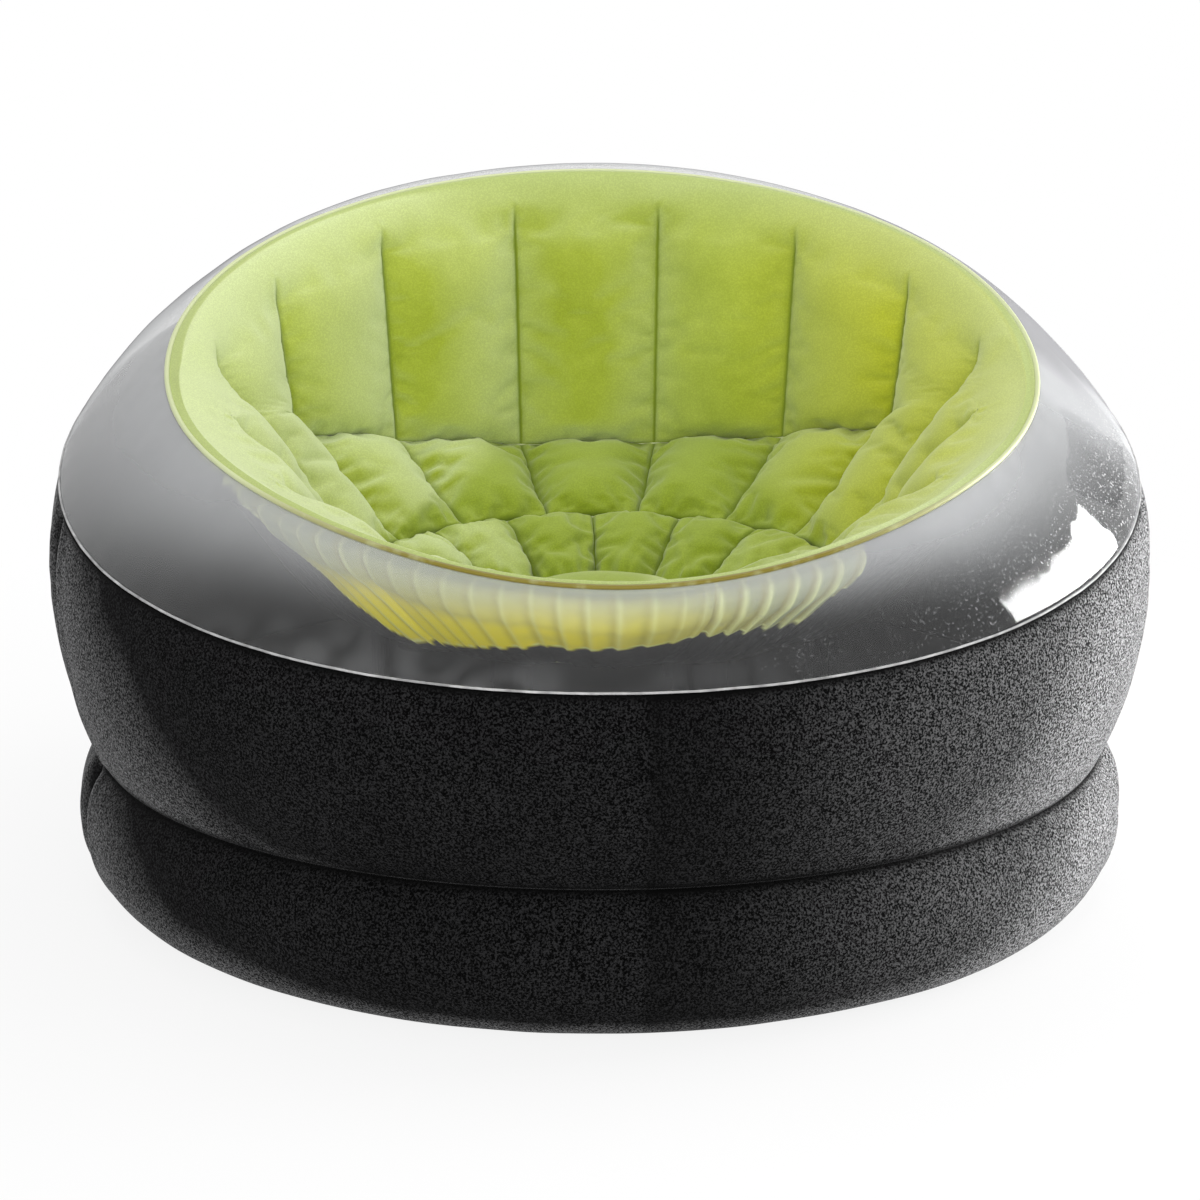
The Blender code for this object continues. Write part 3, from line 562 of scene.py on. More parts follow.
@dataclass(frozen=True)
class ChairForm:
    """Sizes of the chair in metres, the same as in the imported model, and the sections that follow from them."""

    width: float = 1.12
    depth: float = 1.09
    floor_radius: float = 0.460
    base_reach: float = 0.052
    base_radius: float = 0.5385
    base_height: float = 0.092
    waist_radius: float = 0.5170
    waist_height: float = 0.1555
    seam_radius: float = 0.5476
    swell: float = 0.0294
    rim_radius: float = 0.4325
    forward: float = 0.055
    fold_least: float = 0.026
    seat_radius: float = 0.245
    seat_height: float = 0.334
    dome_radius: float = 0.135
    groove_height: float = 0.277
    dome_rise: float = 0.046
    fine_rows: int = 160

    def point(self, angle: Array, radius: object, height: object, back: float = 0.0) -> Array:
        """Places on an oval at angles from the front, by its half width, its height and how far back it lies."""
        east = radius * np.sin(angle) + 0 * angle
        return np.stack([east, back - radius * self.squash * np.cos(angle), height + 0 * angle], axis=-1)

    @property
    def squash(self) -> float:
        """Depth of the oval as a share of its width."""
        return self.depth / self.width

    def across(self, angle: Array) -> Array:
        """Ways along the oval at angles."""
        return np.stack([np.cos(angle), self.squash * np.sin(angle), 0 * angle], axis=1)

    def seam_z(self, angle: Array) -> Array:
        """Height of the weld between the dark wall and the clear crown."""
        return 0.461 - 0.1268 * np.cos(angle) + 0.016 * np.cos(2 * angle)

    def rim_z(self, angle: Array) -> Array:
        """Height of the bowl's rim."""
        lift = np.where(np.cos(angle) > 0, 0.011 * np.sin(2 * angle) ** 2, 0.0)
        return 0.5575 - 0.1255 * np.cos(angle) + lift

    def seam_line(self, angle: Array) -> Array:
        """Path of the crown's lower weld."""
        return self.point(angle, self.seam_radius, self.seam_z(angle))

    def rim_line(self, angle: Array) -> Array:
        """Path of the rim."""
        return self.point(angle, self.rim_radius, self.rim_z(angle), -self.forward)

    def fold(self, angle: Array) -> tuple[Array, Array, Array]:
        """Radius, height and drop of the fold under the back wall."""
        drop = self.rim_z(angle) - (0.5018 + 0.1168 * np.cos(angle))
        drop = (drop + self.fold_least) / 2 + np.sqrt(((drop - self.fold_least) / 2) ** 2 + 0.012 ** 2)
        radius = 0.381 + 0.019 * ((1 + np.cos(angle)) / 2) ** 1.5
        return radius, self.rim_z(angle) - drop, drop

    def curve(self, angle: Array, back: float, *spots: tuple[object, object]) -> Array:
        """Section on one cubic curve, by the radius and height of its four control points."""
        return bezier([self.point(angle, radius, height, back) for radius, height in spots], self.fine_rows)

    def base(self, angle: Array) -> Array:
        """Section of the base ring."""
        radius, height = self.base_radius, self.base_height
        lower = self.curve(angle, 0.0, (self.floor_radius, 0.0), (self.floor_radius + self.base_reach, 0.0),
                           (radius, height - 0.050), (radius, height))
        upper = self.curve(angle, 0.0, (radius, height), (radius, height + 0.030),
                           (radius - 0.006, self.waist_height - 0.0155), (self.waist_radius, self.waist_height))
        return np.concatenate([lower, upper[:, 1:]], axis=1)

    def body(self, angle: Array) -> Array:
        """Section of the dark body wall."""
        top, low = self.seam_z(angle), self.waist_height
        rise = top - low
        return self.curve(angle, 0.0, (self.waist_radius, low), (self.waist_radius + self.swell, low + 0.20 * rise),
                          (self.seam_radius + self.swell, low + 0.69 * rise), (self.seam_radius, top))

    def crown(self, angle: Array) -> Array:
        """Section of the clear crown."""
        back = np.maximum(0.0, -np.cos(angle))
        seam, rim = self.seam_line(angle), self.rim_line(angle)
        leave = self.point(angle, -self.swell, 0.31 * (self.seam_z(angle) - self.waist_height))
        leave = leave / np.linalg.norm(leave, axis=1)[:, None]
        flat = outward(seam - rim)
        flat = flat / np.linalg.norm(flat, axis=1)[:, None]
        tilt = np.radians(lerp(-31.0, 27.0, back))[:, None]
        arrive = flat * np.cos(tilt) + np.array([0, 0, 1]) * np.sin(tilt)
        span = np.linalg.norm(seam - rim, axis=1)
        seam_pull = (span * lerp(0.112, 0.419, back))[:, None]
        rim_pull = (span * lerp(0.065, 0.144, back))[:, None]
        return bezier([seam, seam + leave * seam_pull, rim + arrive * rim_pull, rim], self.fine_rows)

    def wall(self, angle: Array) -> Array:
        """Section of the back wall of the bowl, from the rim down."""
        (radius, height, drop), top = self.fold(angle), self.rim_z(angle)
        return self.curve(angle, -self.forward, (self.rim_radius, top), (self.rim_radius - 0.030, top + 0.010),
                          (radius + 0.020, height + 0.62 * drop), (radius, height))

    def pillow(self, angle: Array) -> Array:
        """Section of the pillow row, from the fold in to the seat."""
        radius, height, _ = self.fold(angle)
        slope = 0.10 * (height - self.seat_height)
        return self.curve(angle, -self.forward, (radius, height), (radius - 0.045, height - 0.020 - slope),
                          (self.seat_radius + 0.050, self.seat_height + 0.004), (self.seat_radius, self.seat_height))

    def seat(self, angle: Array) -> Array:
        """Section of the seat ring, from its edge down into the groove."""
        radius, groove = self.dome_radius, self.groove_height
        return self.curve(angle, -self.forward, (self.seat_radius, self.seat_height),
                          (self.seat_radius - 0.030, self.seat_height - 0.004), (radius + 0.030, groove),
                          (radius, groove))


def linked(name: str, data: bpy.types.ID) -> bpy.types.Object:
    """Puts a new object on some data into the scene."""
    made = bpy.data.objects.new(name, data)
    bpy.context.scene.collection.objects.link(made)
    return made


def mesh_of(name: str, shape: bmesh.types.BMesh) -> Mesh:
    """Turns a finished shape into a mesh."""
    mesh = bpy.data.meshes.new(name)
    shape.to_mesh(mesh)
    shape.free()
    return mesh


def settled(name: str, made: bpy.types.Object) -> Mesh:
    """Gives an object's mesh with its modifiers applied, and takes them off."""
    depsgraph = bpy.context.evaluated_depsgraph_get()
    mesh = bpy.data.meshes.new_from_object(made.evaluated_get(depsgraph), depsgraph=depsgraph)
    mesh.name = name
    made.modifiers.clear()
    return mesh


def sheet_mesh(name: str, grid: Array, closed: bool, facing: Shape, cap: Optional[Array] = None,
               marks: Optional[dict[str, Array]] = None) -> Mesh:
    """Mesh over a grid of points.

    Args:
        name: the mesh's name.
        grid: array of columns, rows and three.
        closed: whether the last column meets the first.
        facing: gives the way that each face should point.
        cap: one point that closes the last row.
        marks: float attributes by name, columns by rows.

    Returns:
        The mesh.
    """
    columns, rows = grid.shape[:2]
    points = grid.reshape(-1, 3)
    index = np.arange(columns * rows).reshape(columns, rows)
    here = index if closed else index[:-1]
    there = np.roll(index, -1, axis=0) if closed else index[1:]
    quads = np.stack([here[:, :-1], there[:, :-1], there[:, 1:], here[:, 1:]], axis=-1).reshape(-1, 4)
    corner = points[quads]
    ways = np.cross(corner[:, 2] - corner[:, 0], corner[:, 3] - corner[:, 1])
    order = -1 if np.sum(ways * facing(corner.mean(axis=1))) < 0 else 1
    faces = quads[:, ::order].tolist()
    if cap is not None:
        pairs = zip(here[:, -1].tolist(), there[:, -1].tolist())
        faces += [[first, second, len(points)][::order] for first, second in pairs]
        points = np.concatenate([points, cap[None]])
    mesh = bpy.data.meshes.new(name)
    mesh.from_pydata(points.tolist(), [], faces)
    mesh.polygons.foreach_set("use_smooth", [True] * len(mesh.polygons))
    for key, values in (marks or {}).items():
        flat = np.zeros(len(points), dtype=np.float32)
        flat[:values.size] = values.reshape(-1)
        mesh.attributes.new(key, "FLOAT", "POINT").data.foreach_set("value", flat)
    mesh.update()
    return mesh


class Edge(Enum):
    """Edge of a panel that folds start from."""

    LEFT = "left"
    RIGHT = "right"
    TOP = "top"
    BOTTOM = "bottom"


@dataclass(frozen=True)
class Folds:
    """Small folds that start at one edge of each panel and die out inside it."""

    edge: Edge
    count: int
    depth: float
    width: float
    reach: float
    spread: tuple[float, float]
    slant: float
    seed: int

    def relief(self, lay: "PanelLay", channel: int) -> tuple[Array, Array]:
        """Height and shade of the folds on one panel.

        Args:
            lay: distances on the panels.
            channel: the panel's number.

        Returns:
            Height in metres and shade from 0 to 1, both columns by rows.
        """
        chance = np.random.default_rng(self.seed * 977 + channel)
        left, right = lay.left[channel], lay.right[channel]
        down, total = lay.down[channel], lay.total[channel]
        height, shade = np.zeros_like(left), np.zeros_like(left)
        for number in range(self.count):
            share = lerp(*self.spread, (number + chance.uniform(0.1, 0.9)) / self.count)
            depth = self.depth * chance.uniform(0.35, 1.0)
            width = self.width * chance.uniform(0.7, 1.35)
            reach = self.reach * chance.uniform(0.45, 1.15)
            slant = self.slant * chance.uniform(-0.6, 1.0)
            if self.edge in (Edge.LEFT, Edge.RIGHT):
                away = left if self.edge is Edge.LEFT else right
                place, room = down - share * total, total
            else:
                away = down if self.edge is Edge.TOP else total - down
                place, room = left - share * (left + right), left + right
                slant *= chance.choice((-1.0, 1.0))
            bend = chance.uniform(-0.8, 0.8) / reach
            place = place - slant * away - bend * away ** 2 * 0.5
            spread = width * (1 + 0.9 * away / reach)
            fade = bell(away, reach, 1.7) * (1 - bell(away, 0.0035)) * np.clip(room / (6 * width), 0, 1)
            ridge = 0.6 * bell(place - 1.7 * spread, spread) + 0.35 * bell(place + 1.7 * spread, spread)
            height += depth * fade * (ridge - bell(place, spread))
            shade = np.maximum(shade, 0.75 * fade * bell(place, 0.6 * spread) * depth / self.depth)
        return height, shade


@dataclass(frozen=True)
class PanelLay:
    """Distances on panels: from the left seam, from the right seam and down each column, panels first."""

    left: Array
    right: Array
    down: Array
    total: Array

    @classmethod
    def measure(cls, grid: Array, panels: int = 1, closed: bool = False) -> "PanelLay":
        """Measures panels that lie side by side.

        Args:
            grid: columns by rows, the first column at a seam.
            panels: how many panels share the columns.
            closed: whether the last panel meets the first.

        Returns:
            The distances.
        """
        blocks = grid.reshape(panels, -1, grid.shape[1], 3)
        ends = np.roll(blocks, -1, axis=0)[:, :1] if closed else blocks[:, -1:]
        steps = np.linalg.norm(np.diff(np.concatenate([blocks, ends], axis=1), axis=1), axis=3)
        sums = np.cumsum(steps, axis=1)
        left = np.concatenate([np.zeros_like(sums[:, :1]), sums[:, :-1]], axis=1)
        down = run_lengths(grid).reshape(left.shape)
        return cls(left, sums[:, -1:] - left, down, down[:, :, -1:] + 0 * down)

    def folded(self, families: Sequence[Folds]) -> tuple[Array, Array]:
        """Sum of several families of folds over all the panels.

        Args:
            families: the families.

        Returns:
            Height and shade, columns by rows.
        """
        height, shade = np.zeros_like(self.left), np.zeros_like(self.left)
        for family in families:
            for channel in range(len(self.left)):
                rise, dark = family.relief(self, channel)
                height[channel] += rise
                shade[channel] = np.maximum(shade[channel], dark)
        flat = (-1, height.shape[2])
        return height.reshape(flat), shade.reshape(flat)


@dataclass(frozen=True)
class ChannelLayout:
    """Columns of a ring of panels, closer together at the seams."""

    panels: int = 16
    columns: int = 24
    start: float = 0.5
    bunch: float = 0.65

    def angles(self) -> Array:
        """Angle of each column from the front."""
        number = np.repeat(np.arange(self.panels), self.columns)
        return 2 * np.pi * (number + self.start + self.across()) / self.panels

    def across(self) -> Array:
        """Share of each column across its panel."""
        return np.tile(bunched(self.columns + 1, self.bunch)[:-1], self.panels)

    def tube(self, power: float) -> Array:
        """Fullness of each column, 0 at the seams and 1 between them, as a column of numbers."""
        return (np.clip(1 - (2 * self.across() - 1) ** 2, 0, None) ** power)[:, None]


class Workshop:
    """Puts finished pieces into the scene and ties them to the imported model."""

    def __init__(self, finishes: dict[Slot, Material]) -> None:
        """Keeps the finishes."""
        self.finishes = finishes

    def place(self, mesh: Mesh, slot: Slot, stands_for: Sequence[str] = (), thickness: float = 0.0,
              fill: Optional[float] = None, reverse: Optional[Slot] = None, centred: bool = False,
              body: Body = Body.CHAIR) -> bpy.types.Object:
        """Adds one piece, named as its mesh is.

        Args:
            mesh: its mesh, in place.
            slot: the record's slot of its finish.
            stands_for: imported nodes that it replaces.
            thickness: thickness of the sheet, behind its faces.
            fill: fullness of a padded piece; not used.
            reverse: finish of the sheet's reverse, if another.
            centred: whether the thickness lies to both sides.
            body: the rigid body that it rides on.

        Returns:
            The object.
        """
        made = linked(mesh.name, mesh)
        mesh.materials.clear()
        mesh.materials.append(self.finishes[slot])
        if thickness:
            thick = made.modifiers.new("thickness", "SOLIDIFY")
            thick.thickness = thickness
            thick.offset = 0.0 if centred else -1.0
            if reverse is not None:
                mesh.materials.append(self.finishes[reverse])
                thick.material_offset = 1
        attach(made, body.value)
        if stands_for:
            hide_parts(*stands_for)
        LOG.info("placed %s with %d faces", made.name, len(mesh.polygons))
        return made

    def dress(self, node: str, slot: Slot) -> None:
        """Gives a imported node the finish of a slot."""
        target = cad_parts[node]
        for holder in target.material_slots:
            holder.material = self.finishes[slot]
        if not target.material_slots:
            target.data.materials.append(self.finishes[slot])
        LOG.info("dressed %s", node)


class GrowingTree:
    """Geometry Nodes tree with named inputs, whose result is kept as a plain mesh."""

    def __init__(self, name: str, inputs: dict[str, str]) -> None:
        """Starts the tree.

        Args:
            name: the tree's name.
            inputs: kind of each input by its name.
        """
        self.tree = bpy.data.node_groups.new(name, "GeometryNodeTree")
        face = self.tree.interface
        face.new_socket("Geometry", in_out="INPUT", socket_type="NodeSocketGeometry")
        self.sockets = {key: face.new_socket(key, in_out="INPUT", socket_type="NodeSocket" + kind).identifier
                        for key, kind in inputs.items()}
        face.new_socket("Geometry", in_out="OUTPUT", socket_type="NodeSocketGeometry")
        self.given = self.add("NodeGroupInput", {})

    def add(self, kind: str, inputs: dict, **settings: object) -> bpy.types.NodeOutputs:
        """Adds a node and gives its outputs."""
        return added_node(self.tree, kind, settings, inputs).outputs

    def end(self, geometry: bpy.types.NodeSocket) -> None:
        """Ends the tree with its instances made real and the finish set."""
        real = self.add("GeometryNodeRealizeInstances", {"Geometry": geometry})
        look = self.add("GeometryNodeSetMaterial", {"Geometry": real[0], "Material": self.given["Finish"]})
        self.add("NodeGroupOutput", {0: look[0]})

    def grow(self, name: str, base: Mesh, values: dict[str, object]) -> Mesh:
        """Evaluates the tree on a mesh.

        Args:
            name: the result's name.
            base: the mesh that the tree starts from.
            values: values of its inputs by name.

        Returns:
            The plain mesh.
        """
        helper = linked(name + "_base", base)
        growth = helper.modifiers.new("grow", "NODES")
        growth.node_group = self.tree
        for key, value in values.items():
            growth[self.sockets[key]] = value
        mesh = settled(name, helper)
        bpy.data.objects.remove(helper)
        return mesh


@dataclass(frozen=True)
class Bead:
    """Sizes of a weld bead: half width and height, how far and how often it strays, its sections and corners."""

    width: float
    height: float
    waver: float
    waves: float
    points: int
    sides: int
    seed: float


class PathTree(GrowingTree):
    """Lays a wavy bead of welded sheet along a loop."""

    def __init__(self) -> None:
        """Builds the tree."""
        super().__init__("weld_bead", {
            "Width": "Float", "Height": "Float", "Waver": "Float", "Waves": "Float", "Seed": "Float",
            "Points": "Int", "Sides": "Int", "Finish": "Material"})
        given = self.given
        loop = self.add("GeometryNodeMeshToCurve", {"Mesh": given["Geometry"]})
        even = self.add("GeometryNodeResampleCurve", {"Curve": loop[0], "Count": given["Points"]})
        where = self.add("GeometryNodeInputPosition", {})
        noise = self.add("ShaderNodeTexNoise", {"Vector": where[0], "W": given["Seed"], "Scale": given["Waves"]},
                         noise_dimensions="4D")
        centred = self.add("ShaderNodeVectorMath", {0: noise["Color"], 1: (0.5, 0.5, 0.5)}, operation="SUBTRACT")
        scaled = self.add("ShaderNodeVectorMath", {0: centred[0], "Scale": given["Waver"]}, operation="SCALE")
        moved = self.add("GeometryNodeSetPosition", {"Geometry": even[0], "Offset": scaled[0]})
        ring = self.add("GeometryNodeCurvePrimitiveCircle", {"Resolution": given["Sides"], "Radius": 1.0})
        size = self.add("ShaderNodeCombineXYZ", {"X": given["Width"], "Y": given["Height"]})
        oval = self.add("GeometryNodeTransform", {"Geometry": ring[0], "Scale": size[0]})
        tube = self.add("GeometryNodeCurveToMesh", {"Curve": moved[0], "Profile Curve": oval[0]})
        self.end(self.add("GeometryNodeSetShadeSmooth", {"Geometry": tube[0]})[0])

    def lay(self, name: str, path: Array, finish: Material, bead: Bead) -> Mesh:
        """Makes one bead.

        Args:
            name: the mesh's name.
            path: points of the closed path.
            finish: the bead's material.
            bead: its sizes.

        Returns:
            The plain mesh.
        """
        base = bpy.data.meshes.new(name + "_path")
        count = len(path)
        base.from_pydata(path.tolist(), [(index, (index + 1) % count) for index in range(count)], [])
        return self.grow(name, base, {key.title(): value for key, value in vars(bead).items()} | {"Finish": finish})


class RingTree(GrowingTree):
    """Repeats a small part round an oval."""

    def __init__(self) -> None:
        """Builds the tree."""
        super().__init__("ring_of_parts", {
            "Count": "Int", "Half Width": "Float", "Half Depth": "Float", "Middle": "Vector", "First": "Float",
            "Finish": "Material"})
        given = self.given
        points = self.add("GeometryNodePoints", {"Count": given["Count"]})
        share = self._maths("DIVIDE", self.add("GeometryNodeInputIndex", {})[0], given["Count"])
        turn = self._maths("MULTIPLY_ADD", share, 2 * math.pi, given["First"])
        east = self._maths("MULTIPLY", self._maths("SINE", turn), given["Half Width"])
        north = self._maths("MULTIPLY", self._maths("COSINE", turn), given["Half Depth"])
        place = self.add("ShaderNodeCombineXYZ", {"X": east, "Y": self._maths("MULTIPLY", north, -1.0)})
        middle = self.add("ShaderNodeVectorMath", {0: place[0], 1: given["Middle"]}, operation="ADD")
        moved = self.add("GeometryNodeSetPosition", {"Geometry": points[0], "Position": middle[0]})
        facing = self.add("ShaderNodeCombineXYZ", {"Z": turn})
        copies = self.add("GeometryNodeInstanceOnPoints", {
            "Points": moved[0], "Instance": given["Geometry"], "Rotation": facing[0]})
        self.end(copies[0])

    def _maths(self, operation: str, *values: object) -> bpy.types.NodeSocket:
        """Adds a Math node on sockets or numbers."""
        return self.add("ShaderNodeMath", dict(enumerate(values)), operation=operation)[0]

    def repeat(self, name: str, part: Mesh, finish: Material, count: int,
               halves: tuple[float, float], middle: Spot) -> Mesh:
        """Repeats a part that faces -Y round an oval of two half widths, from half a step past the front."""
        return self.grow(name, part, {
            "Count": count, "Half Width": halves[0], "Half Depth": halves[1], "Middle": middle,
            "First": math.pi / count, "Finish": finish})


def joined(name: str, parts: Sequence[Mesh], smooth_angle: float = math.inf) -> Mesh:
    """One mesh out of several.

    Args:
        name: the mesh's name.
        parts: the meshes, which are removed.
        smooth_angle: edges sharper than this stay sharp, in degrees.

    Returns:
        The mesh.
    """
    shape = bmesh.new()
    for part in parts:
        shape.from_mesh(part)
        bpy.data.meshes.remove(part)
    for face in shape.faces:
        face.smooth = True
    for edge in shape.edges:
        if len(edge.link_faces) == 2 and edge.calc_face_angle(0.0) > math.radians(smooth_angle):
            edge.smooth = False
    return mesh_of(name, shape)


@dataclass
class DarkShell:
    """Flocked base ring and body wall, with the sheets and tapes inside them."""

    shop: Workshop
    form: ChairForm
    side_seam: float = math.radians(78.75)
    columns: int = 200
    base_rows: int = 44
    body_rows: int = 60
    seam_gap: float = 0.0004
    crease_depth: float = 0.0070
    tape_width: float = 0.016
    tape_gap: float = 0.0030
    hole_radius: float = 0.0191
    front_line: float = 0.021

    def angles(self, rear: bool) -> Array:
        """Angles of the columns of the front or rear panel."""
        gap = self.seam_gap / self.form.seam_radius
        share = bunched(self.columns, 0.5)
        if rear:
            return lerp(self.side_seam + gap, 2 * np.pi - self.side_seam - gap, share)
        return lerp(-self.side_seam + gap, self.side_seam - gap, share)

    def drawn_in(self, near: Array) -> Array:
        """How far the sheet is drawn in at a distance from an upright joint."""
        return self.crease_depth * bell(near, 0.013, 1.1)

    def seam_relief(self, grid: Array, seed: int) -> tuple[Array, Array]:
        """Soft pull towards the upright side seams, small folds there and an uneven skin.

        Args:
            grid: the panel's columns by rows.
            seed: picks the pattern.

        Returns:
            Height along the normals and painted shade, columns by rows.
        """
        lay = PanelLay.measure(grid)
        down, total = lay.down[0], lay.total[0]
        near = np.minimum(lay.left, lay.right)[0]
        rise, shade = lay.folded([
            Folds(Edge.LEFT, 4, 0.0010, 0.0070, 0.045, (0.03, 0.40), 0.5, seed),
            Folds(Edge.RIGHT, 4, 0.0010, 0.0070, 0.045, (0.60, 0.97), 0.5, seed + 1),
            Folds(Edge.TOP, 46, 0.0005, 0.0080, 0.020, (0.0, 1.0), 0.2, seed + 2),
            Folds(Edge.BOTTOM, 46, 0.0005, 0.0080, 0.020, (0.0, 1.0), 0.2, seed + 3)])
        height = 0.0022 * bell(near - 0.030, 0.014) - self.drawn_in(near) + rise
        height += 0.0010 * value_noise(grid, 7.0, seed) + 0.0003 * value_noise(grid, 26.0, seed + 5)
        # Painted shade in the folds, along the side seams and at the panel's top and bottom welds; the front also turns
        # darker to the right of an upright line.
        calm = bell(np.minimum(down, total - down), 0.006)
        shade = np.maximum(shade * 0.5, 0.8 * bell(near, 0.0018))
        past = grid[:, :, 0] - self.front_line
        line = np.where(past > 0, 0.45 * np.exp(-past / 0.09), 0) * (grid[:, :, 1] < 0)
        return height * (1 - calm), np.clip(np.maximum(shade, 0.95 * calm) + line, 0, 1)

    def panel(self, name: str, section: Shape, rear: bool, rows: int, cuts: tuple[float, float], seed: int,
              valve: Optional[Matrix] = None) -> Mesh:
        """Mesh of one flocked panel.

        Args:
            name: the mesh's name.
            section: gives the fine section at angles.
            rear: whether it is the rear panel.
            rows: rows of points from bottom to top.
            cuts: lengths left off at the bottom and at the top.
            seed: picks its wrinkles.
            valve: the valve's frame, if it sits in this panel.

        Returns:
            The mesh.
        """
        grid = respace(section(self.angles(rear)), bunched(rows, 0.4), *cuts)
        height, shade = self.seam_relief(grid, seed)
        moved = grid + grid_normals(grid, False, outward) * height[:, :, None]
        if valve is not None:
            moved = self.valve_seat(moved, valve)
        moved[:, :, 2] = np.maximum(moved[:, :, 2], 0.0002)
        return sheet_mesh(name, moved, False, outward, marks={"crease_shade": shade})

    def tape(self, name: str, section: Shape, angle: float) -> Mesh:
        """Mesh of one weld tape, which follows the drawn-in joint just behind its two panels.

        Args:
            name: the mesh's name.
            section: gives the fine section at angles.
            angle: the joint's angle.

        Returns:
            The mesh.
        """
        reach = self.tape_width / 2 / self.form.seam_radius
        grid = respace(section(np.linspace(angle - reach, angle + reach, 9)), bunched(40, 0.4), 0.006, 0.006)
        depth = self.drawn_in(np.linalg.norm(grid - grid[4], axis=2)) + self.tape_gap
        return sheet_mesh(name, grid - grid_normals(grid, False, outward) * depth[:, :, None], False, outward)

    def cut_valve_hole(self, panel: bpy.types.Object, place: Matrix) -> None:
        """Cuts the round hole of the valve through the rear body panel and applies its thickness.

        Args:
            panel: the finished panel, with its thickness as a modifier.
            place: the valve's frame.
        """
        shape = bmesh.new()
        bmesh.ops.create_cone(shape, cap_ends=True, segments=48, radius1=self.hole_radius, radius2=self.hole_radius,
                              depth=0.06, matrix=place)
        cutter = linked("valve_hole", mesh_of("valve_hole", shape))
        cut = panel.modifiers.new("hole", "BOOLEAN")
        cut.object = cutter
        cut.operation = "DIFFERENCE"
        cut.solver = "EXACT"
        panel.data = settled(panel.name, panel)
        bpy.data.objects.remove(cutter)

    @staticmethod
    def valve_seat(grid: Array, place: Matrix) -> Array:
        """Flattens a panel's points round the valve, as its stiff flange does."""
        out = np.array(place.to_3x3().col[2])
        offset = grid - np.array(place.translation)
        proud = offset @ out
        radius = np.linalg.norm(offset - proud[:, :, None] * out, axis=2)
        share = (1 - smoothstep((radius - 0.034) / 0.040)) * (np.abs(proud) < 0.1)
        return grid + out * ((-0.0027 - proud) * share)[:, :, None]

    def build(self, valve: Matrix) -> None:
        """Builds the four panels and the tapes, and dresses the sheets inside.

        Args:
            valve: the valve's frame.
        """
        form, shop = self.form, self.shop
        rings = (("base", form.base, self.base_rows, (0.0016, 0.0001), 11),
                 ("body", form.body, self.body_rows, (0.0001, 0.0015), 18))
        for rear, side in ((False, "front"), (True, "rear")):
            for part, section, rows, cuts, seed in rings:
                holed = rear and part == "body"
                mesh = self.panel("%s_skin_%s" % (part, side), section, rear, rows, cuts, seed + 20 * rear,
                                  valve if holed else None)
                made = shop.place(mesh, Slot.CHARCOAL, ["%s_wall_%s" % (part, side)], SHEET, reverse=Slot.BLACK)
                if holed:
                    self.cut_valve_hole(made, valve)
        shop.dress("floor_sheet", Slot.BLACK)
        shop.dress("waist_partition", Slot.BLACK)
        for part, section, *_ in rings:
            for side, angle in (("right", self.side_seam), ("left", -self.side_seam)):
                tape = self.tape("%s_tape_%s" % (part, side), section, angle)
                shop.place(tape, Slot.GREY, ["%s_seam_tape_%s" % (part, side)], SHEET)


